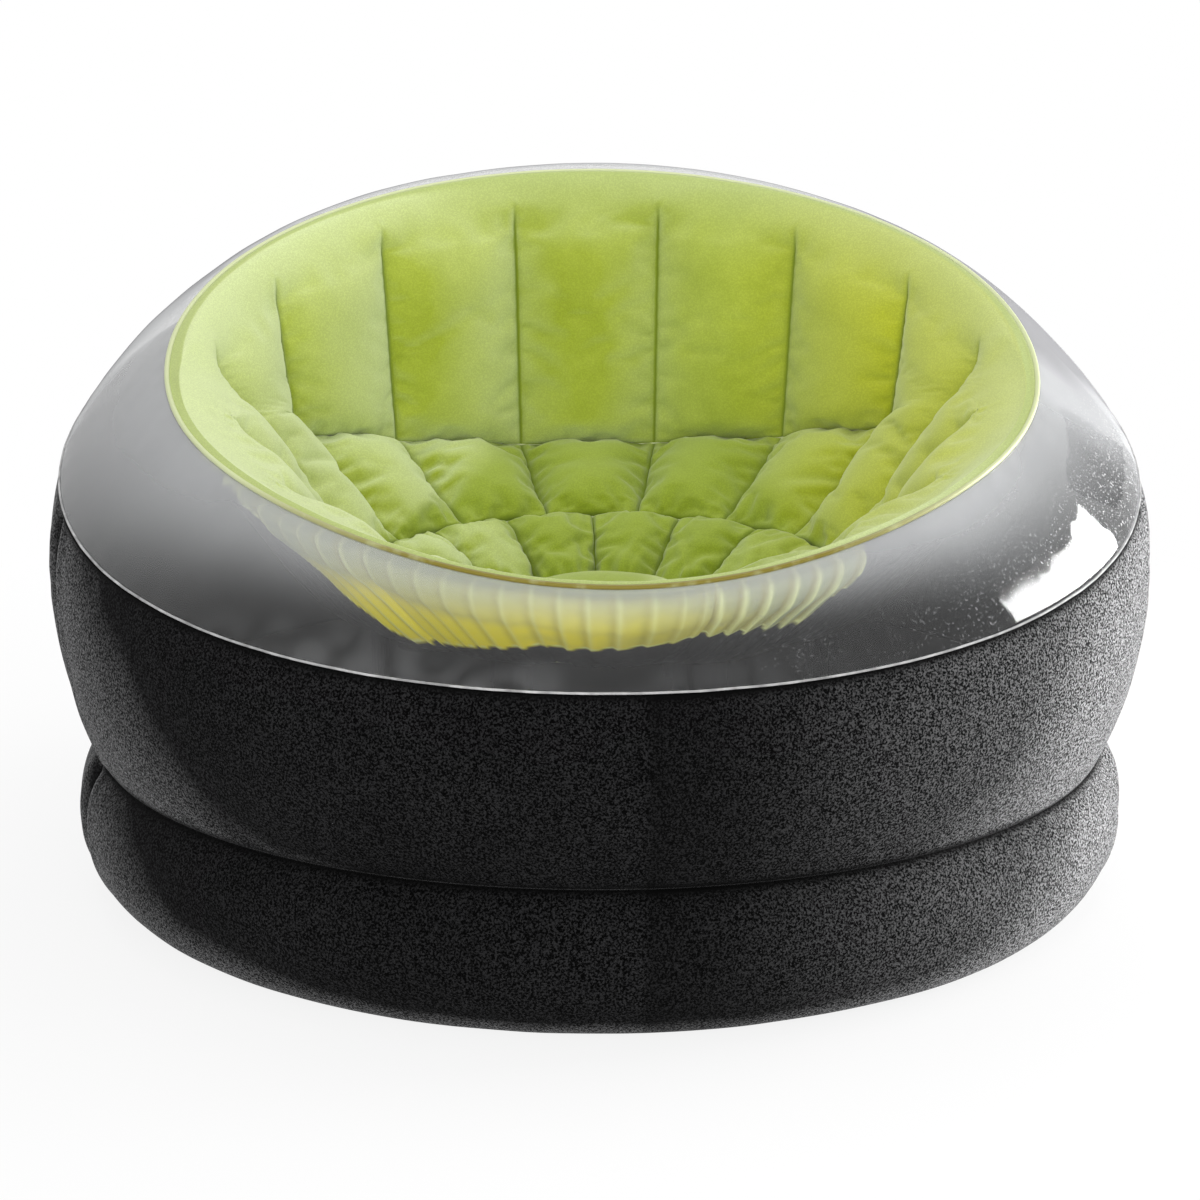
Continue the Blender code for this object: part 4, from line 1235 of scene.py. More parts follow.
@dataclass
class ClearCrown:
    """Clear sheet between the body wall and the rim, with the welds at its two edges."""

    shop: Workshop
    form: ChairForm
    beads: PathTree
    columns: int = 420
    rows: int = 40
    seam_cut: float = 0.0014
    rim_cut: float = 0.0022
    seam_bead: Bead = Bead(0.0013, 0.0012, 0.0012, 22.0, 720, 8, 1.0)
    rim_bead: Bead = Bead(0.0027, 0.0024, 0.0008, 18.0, 640, 10, 2.0)

    def sheet(self) -> Mesh:
        """Mesh of the clear sheet, with slow waves, crinkles by its welds, a painted reflection that whitens it towards
        the rim, dust and a painted dark reflection at the right rear.
        """
        angles = np.linspace(0, 2 * np.pi, self.columns, endpoint=False)[:, None]
        grid = respace(self.form.crown(angles[:, 0]), bunched(self.rows, 0.35), self.seam_cut, self.rim_cut)
        low = run_lengths(grid)
        total = low[:, -1:]
        high = total - low
        turn, around, right = degrees_round(angles), angles * self.form.seam_radius, np.sin(angles)
        waves = 0.0011 * value_noise(grid, 9.0, 3) + 0.0004 * value_noise(grid, 26.0, 4)
        waves = waves * (1 - 0.85 * bell(turn - 68, 20, 4)) * (1 - 0.65 * bell(turn + 8, 52, 4))
        seam = 0.0007 * np.sin(around / 0.0065 + 2.2 * value_noise(grid, 16.0, 8)) * bell(low, 0.016, 1.4)
        seam *= 0.35 + 0.65 * np.clip(value_noise(grid, 5.0, 12) + 0.3, 0, 1)
        rim = 0.0005 * np.sin(around / 0.0080 + 2.0 * value_noise(grid, 13.0, 9)) * bell(high, 0.014, 1.4)
        relief = (waves + seam + rim) * (np.minimum(1, low / 0.010) * np.minimum(1, high / 0.008))
        moved = grid + grid_normals(grid, True, outward_and_up) * relief[:, :, None]
        crinkle = np.clip(np.abs(value_noise(grid, 34.0, 21)) * 2.2 - 0.1, 0, 1)
        crinkle *= bell(low, 0.030) * np.clip(value_noise(grid, 4.0, 15) * 2.0, 0, 1)
        # Painted reflection: how far down from the rim the sheet is whitened, and how strongly.
        reach = total * np.where(right > 0, 0.26 + 0.30 * right ** 2, 0.30 + 0.58 * right ** 4)
        fuller = 1 + 0.25 * right + 0.65 * bell(turn - 43, 19) - 0.45 * smoothstep((turn - 68) / 30)
        reflection_veil = bell(high, reach) * np.where(right > 0, fuller, 1 + 0.6 * right ** 4 + 0.35 * bell(turn + 58, 24))
        dust = bell(angles - math.radians(72), 0.55) * bell(low / total - 0.15, 0.40)
        # Painted dark reflection at the right rear of the sheet.
        dark_reflection = smoothstep((turn - 74) / 22) * (1 - smoothstep((turn - 125) / 25)) * bell(high, 0.8 * total, 4)
        marks = {"crinkle": crinkle, "reflection_veil": reflection_veil, "dust": dust, "dark_reflection": dark_reflection}
        return sheet_mesh("clear_crown", moved, True, outward_and_up, marks=marks)

    def build(self) -> None:
        """Builds the sheet and both welds."""
        shop, form = self.shop, self.form
        shop.place(self.sheet(), Slot.CLEAR, ["crown_sheet"], SHEET)
        for name, path, slot, bead, node in (
                ("crown_weld", form.seam_line, Slot.WHITE_WELD, self.seam_bead, "crown_seam_bead"),
                ("rim_weld", form.rim_line, Slot.GREEN_WELD, self.rim_bead, "rim_bead")):
            shop.place(self.beads.lay(name, path(LOOP), shop.finishes[slot], bead), slot, [node])


@dataclass(frozen=True)
class Inflation:
    """Cloth simulation that blows up a ring of panels held at its welds, on every second column and row."""

    frames: int = 18
    pressure: float = 4.0
    growth: float = 0.050
    tight_growth: float = 0.012
    most: float = 0.009
    tight_most: float = 0.004
    stiffness: float = 12.0
    bending: float = 0.05

    def cloth(self, made: bpy.types.Object) -> None:
        """Adds the cloth modifier to an object that has the vertex groups held and tight."""
        cloth = made.modifiers.new("inflation", "CLOTH")
        cloth.collision_settings.use_collision = False
        cloth.point_cache.frame_start, cloth.point_cache.frame_end = 1, self.frames
        cloth.settings.effector_weights.gravity = 0.0
        for key, value in {
                "quality": 6, "mass": 0.3, "vertex_group_mass": "held", "pin_stiffness": 1.0,
                "tension_stiffness": self.stiffness, "compression_stiffness": self.stiffness,
                "shear_stiffness": self.stiffness * 0.5, "bending_stiffness": self.bending,
                "vertex_group_shrink": "tight", "shrink_min": -self.growth, "shrink_max": -self.tight_growth,
                "use_pressure": True, "uniform_pressure_force": self.pressure}.items():
            setattr(cloth.settings, key, value)

    def run(self, grid: Array, held: Array, tight: Array) -> Array:
        """Blows up a closed grid.

        Args:
            grid: columns, rows and three, with an even count of columns and an odd count of rows.
            held: how firmly each point is held, from 0 to 1.
            tight: how tight the sheet is there, from 0 to 1.

        Returns:
            The grid after the simulation, no point further than the limit from its place.
        """
        coarse, held, tight = grid[::2, ::2], held[::2, ::2], tight[::2, ::2]
        made = linked("inflation", sheet_mesh("inflation", coarse, True, into_bowl))
        for key, weights in (("held", held), ("tight", tight)):
            group = made.vertex_groups.new(name=key)
            for index, weight in enumerate(weights.reshape(-1).tolist()):
                group.add([index], weight, "REPLACE")
        self.cloth(made)
        scene = bpy.context.scene
        for number in range(1, self.frames + 1):
            scene.frame_set(number)
        result = made.evaluated_get(bpy.context.evaluated_depsgraph_get()).data
        places = np.empty(len(result.vertices) * 3)
        result.vertices.foreach_get("co", places)
        moved = places.reshape(coarse.shape) - coarse
        far = np.linalg.norm(moved, axis=2, keepdims=True)
        LOG.info("inflated: median %.4f m, most %.4f m", np.median(far), far.max())
        most = lerp(self.most, self.tight_most, tight[:, :, None])
        moved *= most * np.tanh(far / most) / np.maximum(far, 1e-9)
        made.modifiers.clear()
        bpy.data.objects.remove(made)
        scene.frame_set(1)
        fine = np.zeros_like(grid)
        fine[::2, ::2] = moved
        fine[1::2, ::2] = (moved + np.roll(moved, -1, axis=0)) / 2
        fine[:, 1::2] = (fine[:, :-2:2] + fine[:, 2::2]) / 2
        return grid + fine


@dataclass(frozen=True)
class Line:
    """A weld that rings of panels are held at.

    away is the distance to its row, past the way past that row, drawn how far the row is drawn in and dark how
    much painted shade lies along it.
    """

    away: Array
    past: Array
    drawn: object = 1.0
    dark: float = 0.7


@dataclass(frozen=True)
class Panels:
    """A ring of panels, swollen and folded, before it is blown up.

    near is the distance to the nearest seam, grooved how far the seams have opened and band how much painted
    sheen the plain strip under the rim gets.
    """

    grid: Array
    swell: Array
    folds: tuple[Array, Array]
    near: Array
    lines: Sequence[Line]
    seed: int
    grooved: object = 1.0
    cap: Optional[Array] = None
    band: Optional[Array] = None
    lap_depth: float = 0.00005

    def inflated(self, grid: Array) -> Array:
        """Blows up a grid that is held at the seams, the lines and its first and last rows."""
        held = bell(self.near, 0.003) * self.grooved
        for line in self.lines:
            held = np.maximum(held, bell(line.away, 0.003) * line.drawn)
        tight = 0 * self.near
        if self.band is not None:
            held = np.maximum(held, 1 - smoothstep((self.lines[0].away - 0.030) / 0.060))
            tight = 1 - smoothstep((self.lines[1].past + 0.012) / 0.024)
        held[:, (0, -1)] = 1.0
        return Inflation().run(grid, held, tight)

    def marks(self, normals: Array, dark: Array) -> dict[str, Array]:
        """Values that the flock's finish reads.

        Args:
            normals: ways into the bowl.
            dark: how much painted shade lies in the creases along the welds.

        Returns:
            Values by attribute name.
        """
        east, up = normals[:, :, 0], np.clip(normals[:, :, 2], 0, 1)
        # Painted light and shade by which way each part faces: up-facing parts are darkened and kept free of the
        # painted sheen, west-facing parts also lose it, and west-facing parts at the chair's right are painted lit.
        level = 0.85 * smoothstep(up / 0.9) ** 0.7
        level = level * (1 - 0.95 * smoothstep((east - 0.18) / 0.16)) * (1 - 0.5 * smoothstep((-east - 0.30) / 0.40))
        marks = {
            "crease_shade": np.clip(np.maximum(dark, self.folds[1] * 0.45), 0, 1),
            "level": level,
            "painted_sheen_off": np.maximum(level, 0.70 * smoothstep((-east - 0.08) / 0.22)),
            "lit": 0.60 * smoothstep((-east - 0.05) / 0.25) * smoothstep((self.grid[:, :, 0] - 0.14) / 0.20),
        }
        return marks if self.band is None else marks | {"band": self.band}

    def meshes(self, parts: dict[str, tuple[int, int]]) -> list[Mesh]:
        """Makes the meshes.

        Args:
            parts: first and last row of each mesh by name. A mesh laps one row over its neighbour, just behind it.

        Returns:
            One mesh for each part.
        """
        grid, near = self.grid, self.near
        normals = grid_normals(grid, True, into_bowl)
        calm = 1 - bell(near, 0.012) * self.grooved
        # Painted shade along the seams and the welds.
        dark = 0.8 * bell(near, 0.0022, 1.5) * self.grooved
        for line in self.lines:
            calm = calm * (1 - bell(line.away, 0.008) * line.drawn)
            dark = np.maximum(dark, line.dark * bell(line.away, 0.0020, 1.5) * line.drawn)
        uneven = 0.0016 * value_noise(grid, 16.0, self.seed) + 0.0006 * value_noise(grid, 44.0, self.seed + 3)
        moved = grid + normals * (self.swell + self.folds[0] + uneven * calm)[:, :, None]
        moved = self.inflated(moved)
        marks = self.marks(normals, dark)
        made = []
        for name, (first, last) in parts.items():
            low, high = max(first - 1, 0), min(last + 1, grid.shape[1] - 1)
            part = moved[:, low:high + 1].copy()
            if low < first:
                part[:, 0] -= normals[:, low] * self.lap_depth
            if high > last:
                part[:, -1] -= normals[:, high] * self.lap_depth
            kept = {key: values[:, low:high + 1] for key, values in marks.items()}
            made.append(sheet_mesh(name, part, True, into_bowl, self.cap, kept))
        return made


@dataclass
class SeatBowl:
    """Green flocked back wall with its channels, the pillow row, the seat ring and its domed middle."""

    shop: Workshop
    form: ChairForm
    beads: PathTree
    wall_rows: int = 77
    pillow_rows: int = 53
    seat_rows: int = 45
    wall_cut: float = 0.0026
    weld_cut: float = 0.0003
    band_rise: float = 0.115
    channel_swell: float = 0.027
    pillow_swell: float = 0.029
    seat_swell: float = 0.021
    fade_start: float = 0.032
    fade_end: float = 0.066
    pinch_start: float = 0.34
    pinch_spread: float = 0.30
    round_reach: float = 0.080
    channels: ChannelLayout = ChannelLayout()
    rays: ChannelLayout = ChannelLayout(start=0.0)
    dome: ChannelLayout = ChannelLayout(columns=16, bunch=0.0)

    @staticmethod
    def ring_folds(grid: Array, families: Sequence[Folds], pinched: tuple[object, object] = (1.0, 1.0),
                   panels: int = 16) -> tuple[Array, Array, Array]:
        """Folds of one ring of panels, which die out towards its first and last rows.

        Args:
            grid: the flat grid, columns by rows.
            families: the folds.
            pinched: how far the first and the last row are drawn in, from 0 to 1.
            panels: how many panels share the columns.

        Returns:
            Height, shade and the distance to the nearest seam.
        """
        lay = PanelLay.measure(grid, panels, True)
        rise, shade = lay.folded(families)
        flat = grid.shape[:2]
        down, total = lay.down.reshape(flat), lay.total.reshape(flat)
        taper = 1 - bell(down, 0.005 + 0.035 * (1 - pinched[0]))
        taper = taper * (1 - bell(total - down, 0.005 + 0.035 * (1 - pinched[1])))
        share = 0.3 + 0.7 * pinched[0] * pinched[1]
        return rise * taper * share, shade * share, np.minimum(lay.left, lay.right).reshape(flat)

    @staticmethod
    def arch(share: Array) -> Array:
        """Fullness of a cushion at shares of its length, nothing at both ends."""
        return np.clip(1 - np.abs(2 * share - 1) ** 3.0, 0, 1) ** 0.58

    def pinch(self, angles: Array) -> Array:
        """How far the fold under the wall is drawn in, 1 at the back."""
        return smoothstep((-np.cos(angles) - self.pinch_start) / self.pinch_spread)

    def rounded(self, grid: Array, down: Array, length: Array) -> Array:
        """Rounds the corner between the wall and the pillows with one smooth curve in each column.

        Args:
            grid: columns by rows.
            down: run of each point down its column.
            length: run at the corner, one for each column.

        Returns:
            The rounded grid.
        """
        made = grid.copy()
        for column, (run, corner) in enumerate(zip(down, length[:, 0])):
            reach = min(self.round_reach, 0.85 * corner)
            before, at, after = (np.array([np.interp(corner + step * reach, run, grid[column, :, axis])
                                           for axis in range(3)]) for step in (-1, 0, 1))
            share = np.clip((run - corner + reach) / (2 * reach), 0, 1)[:, None]
            curve = (1 - share) ** 2 * before + 2 * share * (1 - share) * at + share ** 2 * after
            made[column] = np.where((share > 0) & (share < 1), curve, grid[column])
        return made

    def upper_swell(self, angles: Array, down: Array, past: Array,
                    pinch: Array) -> tuple[Array, Array]:
        """Swell of the channels and pillows, and how far the seams between them have opened.

        Args:
            angles: the columns' angles.
            down: run of each point down its column.
            past: run of each point past the corner between wall and pillows.
            pinch: how far the corner is drawn in.

        Returns:
            Swell in metres and the opening from 0 to 1.
        """
        length = down[:, self.wall_rows - 1:self.wall_rows]
        front = np.cos(angles)[:, None]
        tall = self.channel_swell * np.minimum(1, (length + 0.05) / 0.16)
        tall = tall * (1 - 0.75 * smoothstep(np.clip(front, 0, 1) / 0.8))
        over = smoothstep((past + 0.020) / 0.050)
        rise = smoothstep(down / (self.band_rise * np.minimum(1.0, length / 0.13)))
        later = 0.060 * smoothstep((front + 0.10) / 0.30)
        opened = smoothstep((down - self.fade_start - later) / (self.fade_end - self.fade_start))
        opened = np.where(past > 0, np.maximum(opened, smoothstep(past / 0.030)), opened)
        foot = np.sqrt(np.clip(1 - np.clip(1 + past / 0.034, 0, 1) ** 2, 0, 1))
        share = np.clip(past / (down[:, -1:] - length), 0, 1)
        arch = self.arch(share)
        held = lerp(np.where(share < 0.5, 1.0, arch), np.where(past < 0, foot, arch), pinch)
        tube = lerp(self.channels.tube(0.85), self.channels.tube(0.62), over)
        return lerp(tall, self.pillow_swell, over) * rise * lerp(1.0, tube, opened) * held, opened

    def upper(self) -> list[Mesh]:
        """Meshes of the channelled back wall and of the pillow row.

        The two are drawn in along the fold between them at the back. Towards the sides the fold runs out, and
        each channel goes over into its pillow.

        Returns:
            The wall and the pillows.
        """
        angles = self.channels.angles()
        wall = respace(self.form.wall(angles), bunched(self.wall_rows, 0.35), self.wall_cut)
        pillow = respace(self.form.pillow(angles), bunched(self.pillow_rows, 0.5), 0.0, self.weld_cut)
        grid = np.concatenate([wall, pillow[:, 1:]], axis=1)
        split = self.wall_rows - 1
        pinch = self.pinch(angles)[:, None]
        down = run_lengths(grid)
        past, foot = down - down[:, split:split + 1], down[:, -1:] - down
        grid = lerp(grid, self.rounded(grid, down, down[:, split:split + 1]), (1 - pinch)[:, :, None])
        swell, opened = self.upper_swell(angles, down, past, pinch)
        above = self.ring_folds(grid[:, :split + 1], [
            Folds(Edge.LEFT, 5, 0.0012, 0.0050, 0.030, (0.55, 0.98), 0.25, 41),
            Folds(Edge.RIGHT, 5, 0.0012, 0.0050, 0.030, (0.55, 0.98), 0.25, 42),
            Folds(Edge.BOTTOM, 4, 0.0010, 0.0060, 0.024, (0.1, 0.9), 0.2, 43)], (1.0, pinch))
        below = self.ring_folds(grid[:, split:], [
            Folds(Edge.LEFT, 5, 0.0044, 0.0054, 0.036, (0.03, 0.50), 0.45, 61),
            Folds(Edge.RIGHT, 5, 0.0044, 0.0054, 0.036, (0.03, 0.50), 0.45, 62),
            Folds(Edge.BOTTOM, 4, 0.0036, 0.0042, 0.024, (0.15, 0.85), 0.10, 63),
            Folds(Edge.TOP, 3, 0.0010, 0.0060, 0.018, (0.1, 0.9), 0.2, 64)], (pinch, 1.0))
        rise, shade, near = (np.concatenate([high, low[:, 1:]], axis=1) for high, low in zip(above, below))
        # Painted sheen on the plain strip under the rim, strongest towards the front right.
        band = (0.36 + 0.42 * bell(degrees_round(angles) - 38, 18))[:, None] * bell(down, 0.050)
        lines = [Line(down, down, dark=0.0), Line(np.abs(past), past, pinch), Line(foot, foot)]
        panels = Panels(grid, swell, (rise, shade), near, lines, 51, opened, band=band)
        return panels.meshes({"channel_wall": (0, split), "pillow_ring": (split, grid.shape[1] - 1)})

    def seat(self) -> list[Mesh]:
        """Mesh of the seat ring with its radial seams."""
        grid = respace(self.form.seat(self.rays.angles()), bunched(self.seat_rows, 0.5), self.weld_cut, self.weld_cut)
        down = run_lengths(grid)
        foot = down[:, -1:] - down
        swell = self.seat_swell * self.rays.tube(0.56) * self.arch(down / down[:, -1:])
        *folds, near = self.ring_folds(grid, [
            Folds(Edge.TOP, 5, 0.0028, 0.0042, 0.034, (0.05, 0.95), 0.15, 81),
            Folds(Edge.BOTTOM, 8, 0.0044, 0.0038, 0.060, (0.04, 0.96), 0.15, 82),
            Folds(Edge.LEFT, 4, 0.0022, 0.0044, 0.026, (0.2, 0.9), 0.4, 83),
            Folds(Edge.RIGHT, 4, 0.0022, 0.0044, 0.026, (0.2, 0.9), 0.4, 84)])
        panels = Panels(grid, swell, folds, near, [Line(down, down), Line(foot, foot)], 91)
        return panels.meshes({"seat_cushion_ring": (0, self.seat_rows - 1)})

    def middle(self) -> list[Mesh]:
        """Mesh of the domed middle of the seat, with folds that run in from its edge."""
        form = self.form
        angles, shares = self.dome.angles(), bunched(34, 0.35)[:-1]
        grid = np.stack([form.point(angles, (form.dome_radius - 0.0006) * (1 - share),
                                    form.groove_height + form.dome_rise * (1 - (1 - share) ** 2), -form.forward)
                         for share in shares], axis=1)
        down = run_lengths(grid)
        swell = 0.006 * np.sqrt(np.clip(1 - (1 - np.clip(down / 0.05, 0, 1)) ** 2, 0, 1))
        swell = swell * (1 - smoothstep(shares)[None, :])
        *folds, near = self.ring_folds(grid, [Folds(Edge.TOP, 4, 0.0018, 0.0040, 0.045, (0.0, 1.0), 0.1, 101)])
        top = np.array([0.0, -form.forward, form.groove_height + form.dome_rise])
        panels = Panels(grid, swell, folds, near, [Line(down, down)], 111, 0.0, top)
        return panels.meshes({"seat_dome": (0, len(shares) - 1)})

    def build(self) -> None:
        """Builds the four cushions of the bowl and the welds between them."""
        shop, form = self.shop, self.form
        for mesh, node, fill, reverse in zip(
                self.upper() + self.seat() + self.middle(), ("back_wall", "pillow_row", "seat_ring", "seat_middle"),
                (0.8, 0.8, 0.8, 0.7), (Slot.PALE, Slot.PALE, Slot.BLACK, Slot.BLACK)):
            shop.place(mesh, Slot.GREEN, [node], SHEET, fill, reverse)
        radius, height, _ = form.fold(LOOP)
        for number, (name, half, level) in enumerate((
                ("fold_weld", radius - 0.0004 + 0.006 * (1 - self.pinch(LOOP)), height),
                ("seat_edge_weld", form.seat_radius, form.seat_height - 0.0004),
                ("dome_weld", form.dome_radius, form.groove_height - 0.0004))):
            bead = Bead(0.0012, 0.0010, 0.0006, 30.0, 480, 6, 5.0 + number)
            path = form.point(LOOP, half, level, -form.forward)
            shop.place(self.beads.lay(name, path, shop.finishes[Slot.GREEN_WELD], bead), Slot.GREEN_WELD)


@dataclass
class InnerWork:
    """Pleated backing liner, the webs behind the channels and the ties that hold the seat down."""

    shop: Workshop
    form: ChairForm
    rings: RingTree
    liner_start: float = 0.05
    liner_top: float = 0.0030
    liner_depth: float = 0.020
    liner_spread: float = 0.6
    liner_puff: float = 0.006
    liner_rows: int = 48
    hem_share: float = 0.27
    pleat_width: float = 0.027
    pleat_turn: float = 0.80
    web_start: float = 0.16
    web_rows: int = 34
    web_thickness: float = 0.0008
    hold_off: float = 0.0016
    tie_bottom: float = 0.1568
    pleats: ChannelLayout = ChannelLayout(columns=64, bunch=0.15)
    hem_angles: tuple[float, ...] = (
        -180, -120, -90, -75, -60, -52, -48, -44, -40, -35, -28, -20, -10, 0, 12, 20, 25, 28, 30, 32, 90, 120, 180)
    hem_runs: tuple[float, ...] = (
        0.300, 0.300, 0.010, 0.012, 0.022, 0.040, 0.085, 0.150, 0.190, 0.182, 0.160, 0.132, 0.107, 0.091, 0.083, 0.088,
        0.104, 0.113, 0.112, -0.010, -0.010, 0.300, 0.300)

    def liner_shares(self) -> Array:
        """Shares of the liner's rows down a column, closer together about its hem."""
        place = np.linspace(0, 1, 200)
        closeness = 1 + 3.0 * bell(place - self.hem_share, 0.12)
        reached = np.cumsum(closeness) - closeness[0]
        return np.interp(np.linspace(0, 1, self.liner_rows), reached / reached[-1], place)

    def rows(self, angles: Array, shares: Array, start: float) -> Array:
        """Section of the wall, less a share of it at the top, and of the pillows as one, at shares of its length."""
        wall = self.form.wall(angles)[:, int(start * (self.form.fine_rows - 1)):]
        return respace(np.concatenate([wall, self.form.pillow(angles)[:, 1:]], axis=1), shares, 0.0, 0.0006)

    def behind(self, angles: Array, rows: Array) -> Array:
        """Unit ways behind the rows: out behind the wall and down behind the pillows."""
        ways = np.cross(np.gradient(rows, axis=1), self.form.across(angles)[:, None])
        ways = ways / np.linalg.norm(ways, axis=2)[:, :, None]
        return -ways if np.sum(ways * out_of_bowl(rows)) < 0 else ways

    def depths(self, rows: Array) -> Array:
        """Depth of the liner behind each row."""
        return np.minimum(self.liner_depth, self.liner_top + self.liner_spread * run_lengths(rows))

    def liner(self) -> Mesh:
        """Mesh of the liner, full between the webs, with loose upright pleats."""
        angles = self.pleats.angles()
        rows = self.rows(angles, self.liner_shares(), self.liner_start)
        depth, along = self.depths(rows), run_lengths(rows)
        run = angles[:, None] * 0.43
        place = np.stack([run + 0 * depth, 0 * depth, rows[:, :, 2] * 0.4], axis=2)
        phase = (run / self.pleat_width + 0.55 * value_noise(place, 15.0, 5)) % 1.0
        pleat = 1 - 2 * phase + 2 * smoothstep((phase - self.pleat_turn) / (1 - self.pleat_turn))
        strength = 0.35 + 0.65 * np.clip(0.5 + value_noise(outward(place), 14.0, 6), 0, 1)
        grow = smoothstep(along / 0.030)
        puff = self.liner_puff * self.pleats.tube(0.55) * (depth - self.liner_top) / (self.liner_depth - self.liner_top)
        out = depth + puff + 0.0028 * pleat * strength * grow
        grid = rows + self.behind(angles, rows) * out[:, :, None]
        turn = degrees_round(angles)
        scallops = 0.0016 * pleat * strength * (np.abs(turn) < 38)[:, None]
        hem = np.interp(turn, self.hem_angles, self.hem_runs)[:, None] + scallops
        past = along - hem
        # Painted shade in the folds of the pleats and painted highlights along their crests, with a pale line along the
        # hem.
        sharp = bell(np.minimum(phase, 1 - phase), 0.09) * strength * grow
        return sheet_mesh("backing_pleats", grid, True, out_of_bowl, marks={
            "crease_shade": bell(phase - self.pleat_turn, 0.16) * strength * grow,
            "edge": np.maximum(bell(past + 0.002, 0.0016), sharp),
            "beyond": smoothstep(past / 0.002),
            "depth": smoothstep((1 + past / np.maximum(hem, 0.02) - 0.08) / 0.52)})

    def webs(self) -> Mesh:
        """Mesh of the sixteen webs, each a loose strip between a seam and the liner."""
        angles = 2 * np.pi * (np.arange(16) + 0.5) / 16
        rows = self.rows(angles, np.linspace(0, 1, self.web_rows), self.web_start)
        parts = []
        for number, (line, way, depth, side) in enumerate(zip(
                rows, self.behind(angles, rows), self.depths(rows), self.form.across(angles))):
            front, rear = line + way * self.hold_off, line + way * (depth - self.hold_off)[:, None]
            sway = 0.0010 * np.sin(np.linspace(0, 9, len(line)) + number)
            strips = [lerp(front, rear, place) + side * (sway * 4 * place * (1 - place))[:, None]
                      for place in np.linspace(0, 1, 5)]
            parts.append(sheet_mesh("web", np.stack(strips)[:, 2:-1], False, always(side)))
        return joined("channel_webs", parts)

    @staticmethod
    def tie(width: float, height: float) -> Mesh:
        """Mesh of one tie strip at the origin, drawn in a little at its middle and creased by the pull."""
        across, up = np.linspace(-0.5, 0.5, 13)[:, None], np.linspace(0, 1, 24)[None, :]
        waist = 1 - 0.16 * np.sin(np.pi * up) ** 0.8
        fold = 0.0016 * np.sin(across * 26) * np.sin(np.pi * up)
        grid = np.stack([across * width * waist, fold, height * up + 0 * across], axis=2)
        return sheet_mesh("tie", grid, False, always((0.0, -1.0, 0.0)))

    def build(self) -> None:
        """Builds the liner, the webs and the ties."""
        shop, form = self.shop, self.form
        shop.place(self.liner(), Slot.PALE, ["backing_liner"], SHEET)
        shop.place(self.webs(), Slot.PALE, ["channel_web_%02d" % (number + 1) for number in range(16)],
                   self.web_thickness, centred=True)
        for name, count, radius, width, top in (
                ("outer_tie", 8, form.seat_radius, 0.040, form.seat_height - 0.0278),
                ("inner_tie", 4, form.dome_radius, 0.050, form.groove_height - 0.0018)):
            mesh = self.rings.repeat(name + "s", self.tie(width, top - self.tie_bottom), shop.finishes[Slot.GREY],
                                     count, (radius, radius * form.squash), (0.0, -form.forward, self.tie_bottom))
            shop.place(mesh, Slot.GREY, ["%s_%02d" % (name, number + 1) for number in range(count)],
                       self.web_thickness, centred=True)


def box_part(low: Spot, high: Spot, rounding: float, place: Matrix) -> Mesh:
    """Box with rounded edges, in a frame.

    Args:
        low: lowest corner.
        high: highest corner.
        rounding: radius of its edges.
        place: the frame.

    Returns:
        The mesh.
    """
    shape = bmesh.new()
    bmesh.ops.create_cube(shape, size=1.0)
    for vertex in shape.verts:
        for axis in range(3):
            vertex.co[axis] = high[axis] if vertex.co[axis] > 0 else low[axis]
    bmesh.ops.bevel(shape, geom=shape.edges[:], offset=rounding, segments=2, profile=0.6, affect="EDGES")
    bmesh.ops.transform(shape, matrix=place, verts=shape.verts)
    if place.to_3x3().determinant() < 0:
        bmesh.ops.reverse_faces(shape, faces=shape.faces)
    return mesh_of("box", shape)


